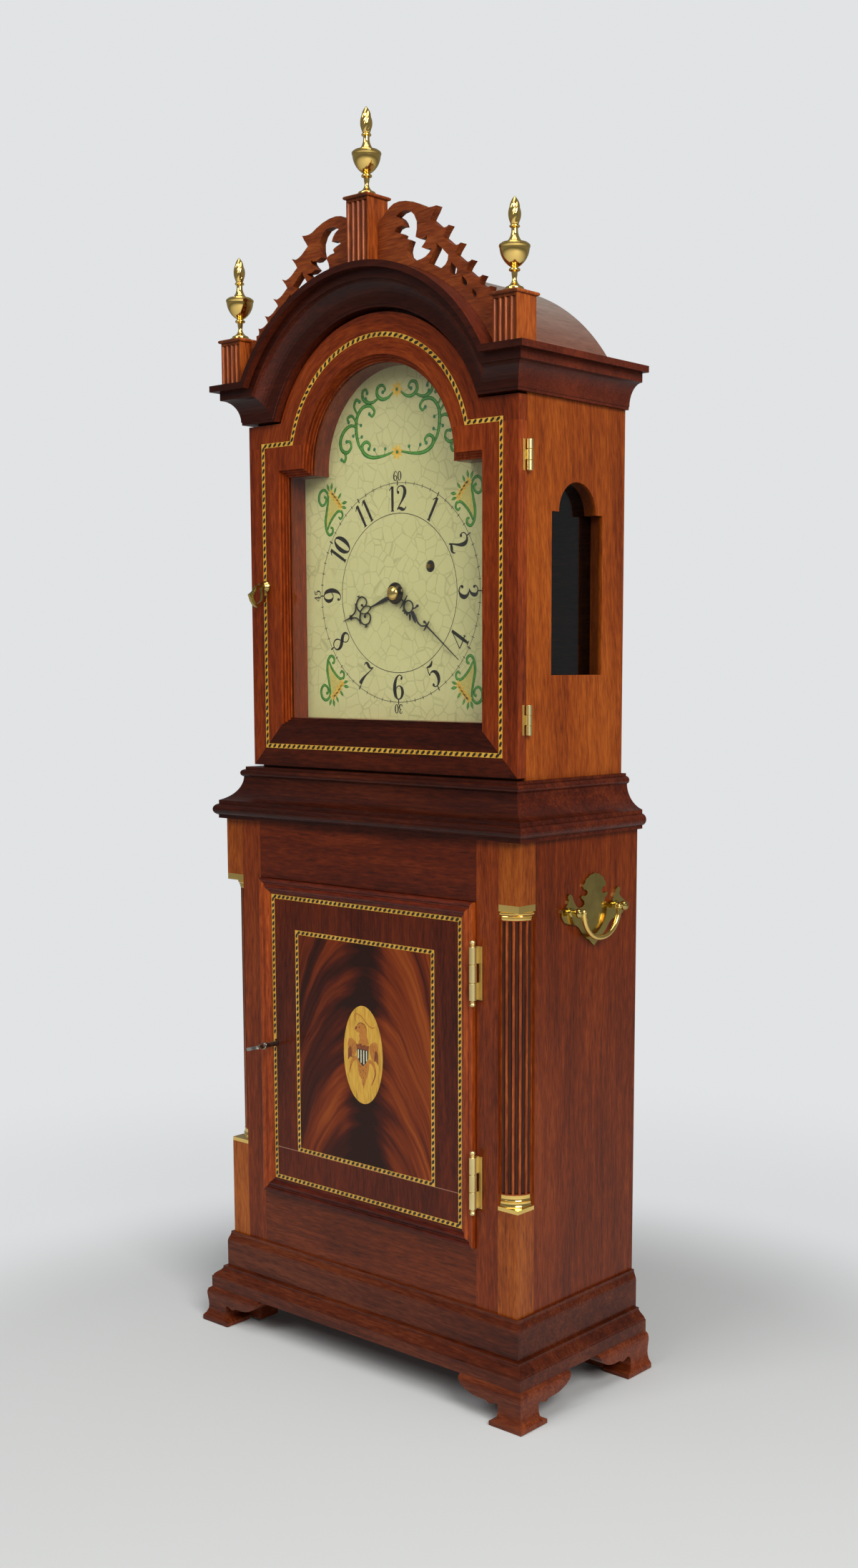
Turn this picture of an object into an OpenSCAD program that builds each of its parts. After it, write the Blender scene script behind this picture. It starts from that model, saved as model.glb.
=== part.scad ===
// Shelf clock: a square lower case on ogee bracket feet carries an arched hood
// with a crown moulding, three plinths with finials and a pierced fret.
// Measures are in millimetres. X runs to the right, Y to the back, Z up.
// Every piece is drawn with the front of the lower case at Y 0 and the floor at
// Z 0, and is then moved so that the whole clock is centred over the origin.

/* [Base] */
// Height of the ogee bracket feet
foot_h = 29; // [26:0.5:32]
// Length of a bracket along the front or the side, from its outer corner
bracket_l = 65.4; // [60:0.2:72]
// Length of the flat pad that a bracket stands on
pad_l = 31; // [28:1:36]
// Thickness of a bracket behind the face of the lower case
bracket_in = 5; // [4:0.5:8]
// Height of the projecting base moulding
base_moulding_h = 18; // [16:0.5:22]
// Height of the plain band above the base moulding
base_band_h = 30.5; // [28:0.5:34]
// Thickness of the floor board inside the base
floor_t = 12; // [9:1:14]

/* [Lower case] */
// Width of the lower case
case_w = 312; // [304:1:324]
// Depth of the case from the front of the lower case to the back
case_d = 145; // [142:1:156]
// Height of the lower case above its base band
case_h = 354.5; // [346:0.5:364]
// Thickness of the boards of the lower case
board = 19; // [17:0.5:20]
// Thickness of the back boards
back_t = 8; // [6:0.5:10]
// Width of a front stile beside the door
stile_w = 21; // [19:0.5:24]
// Height of the front rail above the door
rail_top_h = 46; // [42:0.5:50]
// Height of the front rail below the door
rail_foot_h = 45.5; // [42:0.5:50]

/* [Quarter columns] */
// Radius of the fluted quarter column
column_r = 16.5; // [15:0.25:17]
// Number of flutes on the quarter column
flutes = 5; // [4:1:6]
// Width of one flute
flute_w = 3.4; // [2.6:0.1:3.8]
// Height of the corner block under the column
block_h = 80; // [72:1:88]
// Height of the brass base of the column
column_base_h = 11.5; // [9:0.5:14]
// Height of the brass capital of the column
capital_h = 11.5; // [10:0.5:15]

/* [Lower door] */
// Gap all round the lower door
door_gap = 1.1; // [0.8:0.1:1.6]
// Thickness of the lower door behind its field
door_t = 17; // [15:0.5:18]
// Height of the moulded lip of the door above the front of the case
lip_h = 3.6; // [2.8:0.1:4.4]
// Width of the moulded lip
lip_w = 12; // [10:0.5:14]
// Width of a line of inlay
string_w = 3.6; // [2.8:0.1:4.2]
// Margin from the lip to the outer line of inlay
string_margin = 0.4; // [0.2:0.1:1.2]
// Width of the crossbanded border between the two lines of inlay
border_w = 23.6; // [20:0.2:27]
// Half width of the oval inlay
oval_w = 21.3; // [18:0.1:24]
// Half height of the oval inlay
oval_h = 39.2; // [34:0.1:44]
// Radius of the lower door's hinge barrels
hinge_r = 2.8; // [2.4:0.1:3.2]
// Length of the lower door's hinge barrels
hinge_l = 40; // [36:1:46]
// Height of the middle of the lower door's foot hinge above the door's foot
hinge_inset = 52; // [46:1:60]

/* [Waist moulding] */
// Height of the moulding between the lower case and the hood
waist_h = 42.2; // [38:0.2:46]
// Width of the moulding's timber behind its outer edge
waist_in = 38; // [34:1:42]

/* [Hood] */
// Width of the hood
hood_w = 280; // [272:1:284]
// Height of the hood below the crown moulding
hood_h = 273.8; // [268:0.2:280]
// Distance of the hood door behind the front of the lower case
hood_set = 17.5; // [15:0.5:20]
// Thickness of the hood door
hood_door_t = 9.5; // [9:0.25:12]
// Thickness of the hood's side boards
hood_wall = 16; // [13:0.5:17]
// Thickness of the board behind the hood door
mask_t = 15.7; // [13:0.1:18]
// Height of the arch's centre below the crown moulding
arch_drop = 39.4; // [36:0.2:42]
// Radius of the arched top of the hood door
arch_r = 109.7; // [106:0.1:112]
// Width of the opening in the hood door
opening_w = 203; // [198:0.5:206]
// Height of the sill of the opening above the hood's foot
opening_sill = 40.8; // [37:0.2:44]
// Radius of the arch of the opening
opening_r = 74.5; // [72:0.1:76]
// Radius of the hood door's hinge barrels
hood_hinge_r = 2.3; // [2:0.1:2.6]
// Length of the hood door's hinge barrels
hood_hinge_l = 22; // [18:1:26]
// Thickness of the panes
pane_t = 2; // [1.6:0.1:2.4]
// Width of the side windows
window_w = 61.5; // [56:0.5:66]
// Height of a side window up to its shoulders
window_h = 118; // [108:1:124]
// Height of the sill of a side window above the hood's foot
window_sill = 75.8; // [70:0.2:82]
// Radius of the arch of a side window
window_r = 22.5; // [20:0.1:25]

/* [Crown] */
// Height of the crown moulding
crown_h = 30.3; // [28:0.1:32]
// Gap between the arch of the hood door and the crown moulding
crown_gap = 2.8; // [2.6:0.1:3.4]
// Thickness of the barrel roof
roof_t = 4; // [3:0.25:5]
// Height of the roof above the arch of the crown moulding
roof_rise = 1.7; // [1.4:0.1:2.6]
// Width of the barrel roof at its foot
roof_w = 258.8; // [252:0.4:262]
// Width of a plinth
plinth_w = 21.6; // [19:0.1:23]
// Height of the middle plinth
plinth_top_h = 48.2; // [43:0.1:51]
// Height of a side plinth
plinth_side_h = 35; // [33:0.1:40]
// Distance of a side plinth's axis from the middle of the clock
plinth_x = 141.2; // [138:0.1:143]
// Thickness of a plinth's cap
plinth_cap = 2.6; // [2:0.1:4]
// Overhang of a plinth's cap
cap_out = 1.9; // [1.2:0.1:2.4]
// Height of a finial
finial_h = 63.8; // [58:0.2:70]
// Radius of the rim of a finial's cup
finial_r = 10.95; // [9.5:0.05:11.5]
// Thickness of the fret
fret_t = 6.7; // [5:0.1:8]

/* [Dial and hands] */
// Height of the hands' axis above the hood's foot
hub_up = 138; // [136:0.2:140]
// Radius of the minute ring on the dial
minute_r = 83.7; // [80:0.1:85]
// Length of the hour hand
hour_l = 60.5; // [56:0.5:64]
// Length of the minute hand
minute_l = 81.9; // [77:0.1:83]
// Thickness of the dial plate
dial_t = 1.5; // [1:0.1:2]
// Minutes past twelve that the hands show at rest
rest_minutes = 501; // [0:1:719]

/* [Movement] */
// Distance between the movement's plates
plate_gap = 40; // [40:0.5:44]
// Thickness of a movement plate
plate_t = 2.5; // [2:0.1:3]
// Teeth of the great wheel
great_teeth = 96; // [96:1:96]
// Teeth of the centre wheel
centre_teeth = 72; // [72:1:72]
// Teeth of the third wheel
third_teeth = 84; // [84:1:84]
// Leaves of each pinion
leaves = 8; // [8:1:8]
// Distance from the pendulum's axis to the middle of its bob
pendulum_l = 400; // [390:1:410]
// Radius of the pendulum bob
bob_r = 33; // [29:0.5:36]
// Height of the driving weight
weight_h = 130; // [110:1:140]
// Width of the driving weight
weight_w = 52; // [46:1:54]
// Depth of the driving weight
weight_d = 28; // [24:1:30]
// Drop of the driving weight
weight_drop = 300; // [280:1:310]

/* [Handles and keys] */
// Distance between the posts of a side handle
boring = 57; // [52:1:60]
// Height of the handle posts below the foot of the waist moulding
handle_down = 56.5; // [48:0.5:66]
// Distance of a bail's axis from the side of the case
bail_out = 8.6; // [8:0.1:10]
// Drop of a bail below its axis
bail_drop = 21.2; // [18:0.2:22]
// Radius of a bail's rod
bail_r = 1.9; // [1.6:0.1:2.2]
// Thickness of a handle plate
plate_brass = 1.8; // [1.2:0.1:2.4]
// Length of the lower key in front of the case
key_out = 31.8; // [30:0.2:35]
// Turn of the lower key's bow from level, in degrees
key_lean = 15; // [0:1:30]
// Length of the hood key in front of the hood door
hood_key_out = 19.4; // [18:0.2:22]

/* [Hidden] */
$fn = 64;

// Levels, from the floor up
base_z = foot_h;
band_z = base_z + base_moulding_h;
case_z = band_z + base_band_h;
waist_z = case_z + case_h;
hood_z = waist_z + waist_h;
crown_z = hood_z + hood_h;
deck_z = crown_z + crown_h;
arch_z = crown_z - arch_drop;
hub_z = hood_z + hub_up;

// Planes, from the front to the back
door_back = hood_set + hood_door_t;
seam_y = door_back + 0.3;
mask_back = seam_y + mask_t;
back_y = case_d - back_t;
dial_front = mask_back;
front_plate = dial_front + 19;
rear_plate = front_plate + plate_t + plate_gap;

// Half widths
half = case_w / 2;
inner = half - board;
frame_in = inner - stile_w;
hood_half = hood_w / 2;
hood_in = hood_half - hood_wall;

// The clock reaches from the lower key in front to the back of the case
shift_y = (case_d - key_out) / 2;

// Radii of the arched top
crown_r = arch_r + crown_gap;
crown_top = crown_r + crown_h;

// The barrel roof is one arc from foot to foot
roof_h = arch_z + crown_top + roof_rise - deck_z;
roof_r = (roof_w * roof_w / 4 + roof_h * roof_h) / (2 * roof_h);
roof_z = deck_z + roof_h - roof_r;
roof_in = roof_r - roof_t;

// Small fits
fit_gap = 0.1;
pin_gap = 0.08;
free_gap = 0.35;

mahogany = "#6b2c18";
mahogany_light = "#8f4a22";
mahogany_dark = "#4a2018";
brass = "#cbb25a";
steel = "#b9bbbd";
cream = "#c9a85a";

module placed() {
    translate([0, -shift_y, 0])
        children();
}

// An outline in X and Z, made solid from one depth to another
module front_slab(y0, y1) {
    translate([0, y1, 0])
        rotate([90, 0, 0])
            linear_extrude(y1 - y0)
                children();
}

// An outline in Y and Z, made solid from one width to another
module side_slab(x0, x1) {
    translate([x0, 0, 0])
        rotate([90, 0, 90])
            linear_extrude(x1 - x0)
                children();
}

module box(x0, x1, y0, y1, z0, z1) {
    translate([x0, y0, z0])
        cube([x1 - x0, y1 - y0, z1 - z0]);
}

module window_shape(half_w, sill, shoulder, centre, radius) {
    translate([-half_w, sill])
        square([half_w * 2, shoulder - sill]);
    intersection() {
        translate([0, centre])
            circle(r = radius, $fn = 128);
        translate([-half_w, shoulder - 1])
            square([half_w * 2, radius * 2]);
    }
}

// An S curve and two quarter curves between two points of a profile
function ogee(a, b, n) = [for (i = [0:n])
    [a[0] + (b[0] - a[0]) * (1 - cos(180 * i / n)) / 2, a[1] + (b[1] - a[1]) * i / n]];
function hollow(a, b, n) = [for (i = [0:n])
    [a[0] + (b[0] - a[0]) * (1 - cos(90 * i / n)), a[1] + (b[1] - a[1]) * sin(90 * i / n)]];
function swell(a, b, n) = [for (i = [0:n])
    [a[0] + (b[0] - a[0]) * sin(90 * i / n), a[1] + (b[1] - a[1]) * (1 - cos(90 * i / n))]];

// A circular arc from a to b that stands sag away from the line between them, to
// the left of the way from a to b where sag is positive
function arc(a, b, sag, n) =
    let (d = b - a, c = norm(d), r = (c * c / 4 + sag * sag) / (2 * abs(sag)), s = sign(sag),
        left = [-d[1], d[0]] / c, centre = (a + b) / 2 + left * (sag - s * r),
        half_turn = 2 * atan2(2 * abs(sag), c))
    [for (i = [0:n]) let (t = half_turn * (2 * i / n - 1))
        centre + s * r * (left * cos(t) + d / c * s * sin(t))];

// A profile drawn at its natural height, stretched to start and end at set levels
function levelled(profile, z0, h) = [for (p = profile)
    [p[0], z0 + p[1] * h / profile[len(profile) - 1][1]]];

// A moulding that runs along the front and both sides and is mitred at the
// corners. The profile holds offsets outward from the lower case, and heights.
module mitred_run(profile) {
    last = len(profile) - 1;
    bottom = profile[0][1];
    top = profile[last][1];
    intersection() {
        side_slab(-half - 40, half + 40)
            polygon(concat([for (p = profile) [-p[0], p[1]]],
                [[case_d, top], [case_d, bottom]]));
        front_slab(-60, case_d)
            polygon(concat([for (p = profile) [half + p[0], p[1]]],
                [for (i = [last:-1:0]) [-half - profile[i][0], profile[i][1]]]));
    }
}

foot_profile = levelled(concat(
    [[20.2, 0], [20.2, 3.5], [17.8, 6.5], [16.7, 9.5], [16.4, 12.5]],
    [[16.6, 16], [17.1, 20], [17.4, 22.6], [17.3, 25], [16.6, 27.4], [14.3, 29]]), 0, foot_h);
foot_out = foot_profile[0][0];

// Scrolled outline of a bracket: distance from its outer corner, and height
scroll = concat(
    [[0, 0], [pad_l, 0], [pad_l, 3], [pad_l - 1.6, 3.8], [pad_l - 5, 5.6], [pad_l - 7.2, 8.2]],
    [[pad_l - 8, 11.2], [pad_l - 7.5, 13.8], [pad_l - 5.7, 15.8], [pad_l - 3, 16.6]],
    [[pad_l - 0.7, 15.4], [pad_l + 1.8, 14.5], [pad_l + 4.2, 14.7], [pad_l + 6, 16.2]],
    [[pad_l + 9, 16.3], [pad_l + 14, 16.3], [bracket_l - 15.5, 17], [bracket_l - 10.5, 18.6]],
    [[bracket_l - 6, 21], [bracket_l - 3, 23.8], [bracket_l - 1.5, 26.4], [bracket_l - 1.3, 29]]);
scroll_at_height = [for (p = scroll) [p[0], p[1] * foot_h / 29]];

module scroll_shape() {
    polygon(concat(scroll_at_height, [[0, foot_h]]));
}

module front_foot() {
    corner = half + foot_out;
    intersection() {
        mitred_run(foot_profile);
        union() {
            front_slab(-foot_out - 1, bracket_in)
                translate([corner, 0])
                    mirror([1, 0])
                        scroll_shape();
            side_slab(half - bracket_in, corner + 1)
                translate([-foot_out, 0])
                    scroll_shape();
        }
    }
    box(half - bracket_in - 20, half - bracket_in, bracket_in, bracket_in + 20, 3, foot_h);
}

module rear_foot() {
    corner = half + foot_out;
    rear_t = 12;
    intersection() {
        mitred_run(foot_profile);
        union() {
            side_slab(half - bracket_in, corner + 1)
                translate([case_d, 0])
                    mirror([1, 0])
                        scroll_shape();
            front_slab(case_d - rear_t, case_d)
                polygon([[corner, 0], [corner, foot_h], [half - bracket_l + 20, foot_h],
                    [half - 10.5, 0]]);
        }
    }
    box(half - bracket_in - 20, half - bracket_in, case_d - rear_t - 20, case_d - rear_t, 3, foot_h);
}

module foot_front_right() {
    color(mahogany) placed() front_foot();
}

module foot_front_left() {
    color(mahogany) placed() mirror([1, 0, 0]) front_foot();
}

module foot_rear_right() {
    color(mahogany) placed() rear_foot();
}

module foot_rear_left() {
    color(mahogany) placed() mirror([1, 0, 0]) rear_foot();
}

module base_moulding() {
    profile = levelled(concat([[14.3, 0], [14.3, 9.4]], ogee([13.4, 9.8], [7.3, 16.8], 8),
        [[7.3, 18]]), base_z, base_moulding_h);
    color(mahogany) placed() difference() {
        mitred_run(profile);
        box(-inner, inner, board, case_d + 1, base_z - 1, band_z + 1);
    }
}

module base_band() {
    profile = levelled(concat([[4.4, 0], [4.4, 22.2]], ogee([4.3, 22.3], [2.2, 29.6], 6),
        [[2.2, 30.5]]), band_z, base_band_h);
    color(mahogany) placed() difference() {
        mitred_run(profile);
        box(-inner, inner, board, case_d + 1, band_z - 1, case_z + 1);
    }
}

module floor_board() {
    color(mahogany_light) placed()
        box(-inner, inner, board, back_y, case_z - floor_t, case_z);
}

module case_side() {
    posts = [-boring / 2, boring / 2];
    difference() {
        box(inner, half, board, case_d, case_z, waist_z);
        for (dy = posts)
            translate([half - 12, handle_y + dy, handle_z])
                rotate([0, 90, 0])
                    cylinder(r = 2, h = 20);
    }
}

module case_side_right() {
    color(mahogany) placed() case_side();
}

module case_side_left() {
    color(mahogany) placed() mirror([1, 0, 0]) case_side();
}

module case_back() {
    color(mahogany_dark) placed()
        box(-inner, inner, back_y, case_d, band_z, hood_z);
}

// A stile with the stop behind it that the door shuts against
module stile() {
    box(frame_in, inner, 0, board, case_z, waist_z);
    box(frame_in - 7, inner, board, board + 6, case_z, waist_z);
    box(frame_in - 7, frame_in, field_y + door_t + free_gap, board, case_z + rail_foot_h,
        waist_z - rail_top_h);
}

module stile_right() {
    color(mahogany) placed() stile();
}

module stile_left() {
    color(mahogany) placed() mirror([1, 0, 0]) stile();
}

module rail_top() {
    color(mahogany) placed()
        box(-frame_in, frame_in, 0, board, waist_z - rail_top_h, waist_z);
}

module rail_foot() {
    color(mahogany) placed()
        box(-frame_in, frame_in, 0, board, case_z, case_z + rail_foot_h);
}

block_top = case_z + block_h;
capital_top = waist_z - rail_top_h;

module corner_blocks() {
    box(inner, half, 0, board, case_z, block_top);
    box(inner, half, 0, board, capital_top, waist_z);
}

module corner_blocks_right() {
    color(mahogany_light) placed() corner_blocks();
}

module corner_blocks_left() {
    color(mahogany_light) placed() mirror([1, 0, 0]) corner_blocks();
}

// A quarter turn about the inner corner of the notch
module quarter_turn() {
    translate([inner, board, 0])
        rotate([0, 0, -90])
            rotate_extrude(angle = 90)
                children();
}

module column() {
    low = block_top + column_base_h;
    high = capital_top - capital_h;
    step = 90 / flutes;
    stop = 0.8;
    translate([inner, board, 0]) {
        for (z = [low, high - stop])
            translate([0, 0, z])
                linear_extrude(stop)
                    quarter_disc();
        translate([0, 0, low + stop])
            linear_extrude(high - low - stop * 2)
                difference() {
                    quarter_disc();
                    for (i = [0:flutes - 1])
                        rotate(-90 + step * (i + 0.5))
                            translate([column_r, 0])
                                circle(r = flute_w / 2, $fn = 32);
                }
    }
}

module quarter_disc() {
    intersection() {
        circle(r = column_r);
        translate([0, -column_r - 1])
            square(column_r + 1);
    }
}

module column_right() {
    color(mahogany) placed() column();
}

module column_left() {
    color(mahogany) placed() mirror([1, 0, 0]) column();
}

module corner_brasses() {
    plate = 3;
    rise = column_base_h - plate;
    box(inner, half, 0, board, block_top, block_top + plate);
    quarter_turn()
        polygon(concat([[0, block_top + plate], [column_r + 1.6, block_top + plate]],
            swell([column_r + 1.6, block_top + plate],
                [column_r + 0.6, block_top + plate + rise * 0.4], 4),
            [[column_r + 0.2, block_top + plate + rise * 0.45]],
            swell([column_r + 1, block_top + plate + rise * 0.5],
                [column_r + 0.2, block_top + plate + rise * 0.8], 4),
            [[column_r + 0.2, block_top + plate + rise], [0, block_top + plate + rise]]));
    top_plate = 5;
    drop = capital_h - top_plate;
    foot = capital_top - capital_h;
    box(inner, half, 0, board, capital_top - top_plate, capital_top);
    quarter_turn()
        polygon(concat([[0, foot], [column_r + 0.3, foot], [column_r + 0.5, foot + drop * 0.1]],
            [[column_r + 0.5, foot + drop * 0.26], [column_r + 0.1, foot + drop * 0.3]],
            arc([column_r + 0.6, foot + drop * 0.33], [column_r + 0.6, foot + drop * 0.49], -0.5, 4),
            arc([column_r + 0.7, foot + drop * 0.53], [column_r + 0.9, foot + drop], -1.3, 6),
            [[0, foot + drop]]));
}

module column_brasses() {
    color(brass) placed() {
        corner_brasses();
        mirror([1, 0, 0]) corner_brasses();
    }
}

waist_profile = levelled(concat(
    [[4.7, 0], [4.7, 2.6]], arc([5.1, 2.8], [5.1, 11.6], -3.2, 8), [[4.5, 11.8], [4.5, 14.8]],
    arc([3.8, 15], [-10.3, 33.2], 3.4, 10), [[-10.3, 34]],
    arc([-10.2, 34.1], [-10.6, 39.9], -2.3, 7), [[-11.4, 40.2], [-11.4, 42.2]]), waist_z, waist_h);
waist_top_out = waist_profile[len(waist_profile) - 1][0];

module waist_moulding() {
    ring = half - waist_in;
    color(mahogany) placed() difference() {
        mitred_run(waist_profile);
        box(-ring, ring, waist_in + 6, case_d + 1, waist_z - 1, hood_z + 1);
        box(-inner, inner, back_y, case_d + 1, waist_z - 1, hood_z + 1);
    }
}

window_y = (seam_y + case_d) / 2 + 0.6;
sill_z = hood_z + window_sill;
shoulder_z = sill_z + window_h;

module side_window(grow) {
    translate([window_y, 0])
        window_shape(window_w / 2 + grow, sill_z - grow, shoulder_z + grow,
            shoulder_z, window_r + grow);
}

module hood_side() {
    difference() {
        box(hood_in, hood_half, seam_y, case_d, hood_z, deck_z);
        side_slab(hood_in - 1, hood_half + 1)
            side_window(0);
        side_slab(hood_in - 1, hood_in + 5)
            side_window(5);
    }
}

module hood_side_right() {
    color(mahogany_light) placed() hood_side();
}

module hood_side_left() {
    color(mahogany_light) placed() mirror([1, 0, 0]) hood_side();
}

module side_panes() {
    color([0.8, 0.85, 0.85, 0.4]) placed()
        for (side = [0, 1])
            mirror([side, 0, 0])
                side_slab(hood_in + 5 - pane_t, hood_in + 5)
                    side_window(5 - 2 * fit_gap);
}

// The arched outline that the roof is bent over
module arch_board_shape(half_w) {
    translate([-half_w, hood_z])
        square([half_w * 2, deck_z - hood_z]);
    intersection() {
        translate([0, roof_z])
            circle(r = roof_in - 0.2, $fn = 128);
        translate([-half_w, deck_z - 1])
            square([half_w * 2, roof_r]);
    }
}

module sight_shape(grow) {
    window_shape(opening_w / 2 + grow, hood_z + opening_sill - grow, arch_z - 3.4 + grow,
        arch_z, opening_r + grow);
}

module hood_back() {
    color(mahogany_dark) placed()
        front_slab(back_y, case_d)
            arch_board_shape(hood_in);
}

module hood_mask() {
    color(mahogany) placed()
        front_slab(seam_y, mask_back)
            difference() {
                arch_board_shape(hood_in);
                sight_shape(0);
            }
}

module roof() {
    color("#8c7870") placed()
        intersection() {
            front_slab(seam_y, case_d)
                difference() {
                    translate([0, roof_z])
                        circle(r = roof_r, $fn = 128);
                    translate([0, roof_z])
                        circle(r = roof_in, $fn = 128);
                }
            box(-roof_r, roof_r, seam_y, case_d, deck_z, deck_z + roof_r);
        }
}

// Offsets outward from the lower case, and heights above the foot of the crown
crown_profile = [for (p = concat(
    [[-12.8, 0], [-12.8, 2]], hollow([-12.3, 2.2], [-0.8, 18.9], 9),
    [[-0.6, 19.2], [-0.6, 25.5], [5.3, 25.5], [5.3, 30.3]]))
    [p[0], p[1] * crown_h / 30.3]];
crown_out = crown_profile[len(crown_profile) - 1][0];

module crown_moulding() {
    last = len(crown_profile) - 1;
    reach = crown_top + 8;
    color(mahogany_dark) placed() difference() {
        intersection() {
            // straight front, as high as the arch
            side_slab(-half - 40, half + 40)
                polygon(concat([for (p = crown_profile) [-p[0], crown_z + p[1]]],
                    [[-crown_out, arch_z + reach], [case_d, arch_z + reach], [case_d, crown_z]]));
            // both sides
            front_slab(-60, case_d)
                polygon(concat([for (p = crown_profile) [half + p[0], crown_z + p[1]]],
                    [[half + crown_out, arch_z + reach], [-half - crown_out, arch_z + reach]],
                    [for (i = [last:-1:0]) [-half - crown_profile[i][0], crown_z + crown_profile[i][1]]]));
            // arched front, as wide as the case
            union() {
                translate([0, 0, arch_z])
                    rotate([90, 0, 0])
                        rotate_extrude($fn = 128)
                            polygon(concat([for (p = crown_profile) [crown_r + p[1], p[0]]],
                                [[half * 2, crown_out], [half * 2, -seam_y], [crown_r, -seam_y]]));
                box(-half - 40, half + 40, seam_y, case_d + 1, crown_z - 1, deck_z + 1);
            }
        }
        // the top of the straight runs and of the arch
        difference() {
            box(-half - 60, half + 60, -60, case_d + 1, deck_z, arch_z + reach + 1);
            front_slab(-70, seam_y)
                translate([0, arch_z])
                    circle(r = crown_top, $fn = 128);
        }
        box(-hood_half, hood_half, seam_y, case_d + 1, crown_z - 1, deck_z + 1);
    }
}

plinth_y = 11;

// A square cap with a rounded edge
module cap(reach, thick) {
    side = reach - thick / 2.2;
    edge = concat(arc([side, 0], [side, thick], -thick / 2.2, 6),
        arc([-side, thick], [-side, 0], -thick / 2.2, 6));
    intersection() {
        translate([0, reach + 1, 0])
            rotate([90, 0, 0])
                linear_extrude(reach * 2 + 2)
                    polygon(edge);
        translate([-reach - 1, 0, 0])
            rotate([90, 0, 90])
                linear_extrude(reach * 2 + 2)
                    polygon(edge);
    }
}

module plinth(height) {
    r = plinth_w / 2;
    body = height - plinth_cap;
    pitch = plinth_w * 0.237;
    difference() {
        translate([-r, -r, 0])
            cube([plinth_w, plinth_w, body]);
        for (i = [-1.5:1:1.5])
            translate([i * pitch, -r - pitch * 0.12, -20])
                cylinder(r = pitch * 0.42, h = body + 18, $fn = 24);
    }
    translate([0, 0, body])
        cap(r + cap_out, plinth_cap);
}

plinth_foot = arch_z + crown_top;

module plinth_middle() {
    color(mahogany) placed() {
        translate([0, plinth_y, plinth_foot])
            plinth(plinth_top_h);
        difference() {
            box(-plinth_w / 2, plinth_w / 2, plinth_y - plinth_w / 2, plinth_y + plinth_w / 2,
                plinth_foot - 4, plinth_foot);
            front_slab(-20, 60)
                translate([0, arch_z])
                    circle(r = crown_top + 0.04, $fn = 128);
        }
    }
}

module plinth_right() {
    color(mahogany) placed()
        translate([plinth_x, plinth_y, deck_z])
            plinth(plinth_side_h);
}

module plinth_left() {
    color(mahogany) placed()
        translate([-plinth_x, plinth_y, deck_z])
            plinth(plinth_side_h);
}

// Notches between the leaves along the top of the fret, and the size of each leaf
fret_notches = [[63, 874], [75, 860], [86.3, 846.5], [97, 834.5], [109, 823.5]];
leaf_sizes = [1, 0.96, 0.9, 0.86];

// The edge of a leaf, from the notch above it to its tip and down to the next notch
function leaf_edge(i) = let (n = fret_notches[i], k = leaf_sizes[i], tip = n + [17.8, -6.6] * k,
    next = fret_notches[i + 1])
    concat([n, n + [2.2, -1.6] * k, n + [4.3, -3.3] * k, n + [6.9, -5.3] * k, n + [10, -6.9] * k],
        [n + [13, -7.8] * k, n + [15.6, -7.6] * k, tip],
        [tip * 0.66 + next * 0.34 + [-0.3, 0], tip * 0.33 + next * 0.67 + [-0.3, 0.2]]);

module fret_openings() {
    // hooked opening under the large scroll
    polygon([[43.5, 883], [47.5, 879.5], [50, 874.5], [50, 869.5], [48.7, 864], [53, 862],
        [57, 862], [60.2, 863.5], [59.5, 861], [57.3, 858.5], [54.4, 856], [59, 854],
        [64.4, 854], [62, 851.3], [58.3, 849], [54.7, 848], [50, 847.5], [44.6, 849],
        [41, 851.7], [40, 855.5], [40.8, 858.5], [43, 862.5], [39, 864.4], [34.3, 865],
        [35.8, 867.5], [33.2, 869], [27.7, 870.8], [29.6, 873], [33.2, 873.8], [37, 873.5],
        [35.5, 876.8], [33.3, 879.3], [29.5, 881.5], [33.5, 883.6], [38.5, 884.3]]);
    // three openings that grow smaller toward the side plinth
    polygon([[69, 856.5], [74.7, 852], [78.2, 848.7], [80.2, 847], [79.6, 843.5], [77.5, 840.8],
        [73, 838.5], [66.5, 841.3], [61.2, 844], [64.8, 848.7], [68.3, 853.3]]);
    polygon([[83, 841.7], [87.3, 837.8], [88.6, 836], [88, 833.7], [86.3, 831.7], [83.5, 833.3],
        [81, 835.2], [81.7, 838.6]]);
    polygon([[93.2, 831], [97, 827.4], [98.3, 825.5], [97.4, 822.8], [95, 824], [92.2, 826.3],
        [92.5, 828.5]]);
    polygon([[103, 820.8], [106.3, 818], [107, 816], [105.6, 814.2], [103.2, 815.5], [102.2, 818]]);
}

module fret() {
    side = plinth_w / 2 + 0.15;
    far = plinth_x - plinth_w / 2 - 0.15;
    top = deck_z + plinth_side_h - plinth_cap - 0.3;
    // the pattern is drawn for a half width of 130.25 and a crown that ends at 778.3
    k = far / 130.25;
    front_slab(plinth_y - 0.2, plinth_y - 0.2 + fret_t)
        difference() {
            intersection() {
                translate([0, deck_z])
                    scale([k, crown_top / 142.8])
                        translate([0, -778.3])
                            difference() {
                                polygon(concat(
                                    [[5, 840], [5, 876], [10.6, 877], [15, 882], [20, 886.3]],
                                    [[23, 888.5], [27, 890.5], [32.5, 891.2], [39, 890.6]],
                                    [[46.3, 888.8], [53.5, 885.8], [58, 883.4], [61.5, 882.4]],
                                    [[65, 882.3], [69, 882.6], [66.6, 878.8], [64.6, 876.4]],
                                    [for (i = [0:3]) each leaf_edge(i)],
                                    [[109, 823.5], [111, 822.1], [113, 820.9], [115.4, 820]],
                                    [[117.6, 819.8], [119.9, 820.3], [119, 817.6], [119.4, 815.2]],
                                    [[140, 812], [140, 770], [118, 770]]));
                                fret_openings();
                            }
                polygon([[side, deck_z + 0.1], [side, 2 * crown_z], [far - 8, 2 * crown_z],
                    [far - 8, top], [far, top], [far, deck_z + 0.1]]);
            }
            translate([0, arch_z])
                circle(r = crown_top + 0.1, $fn = 128);
        }
}

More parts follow.
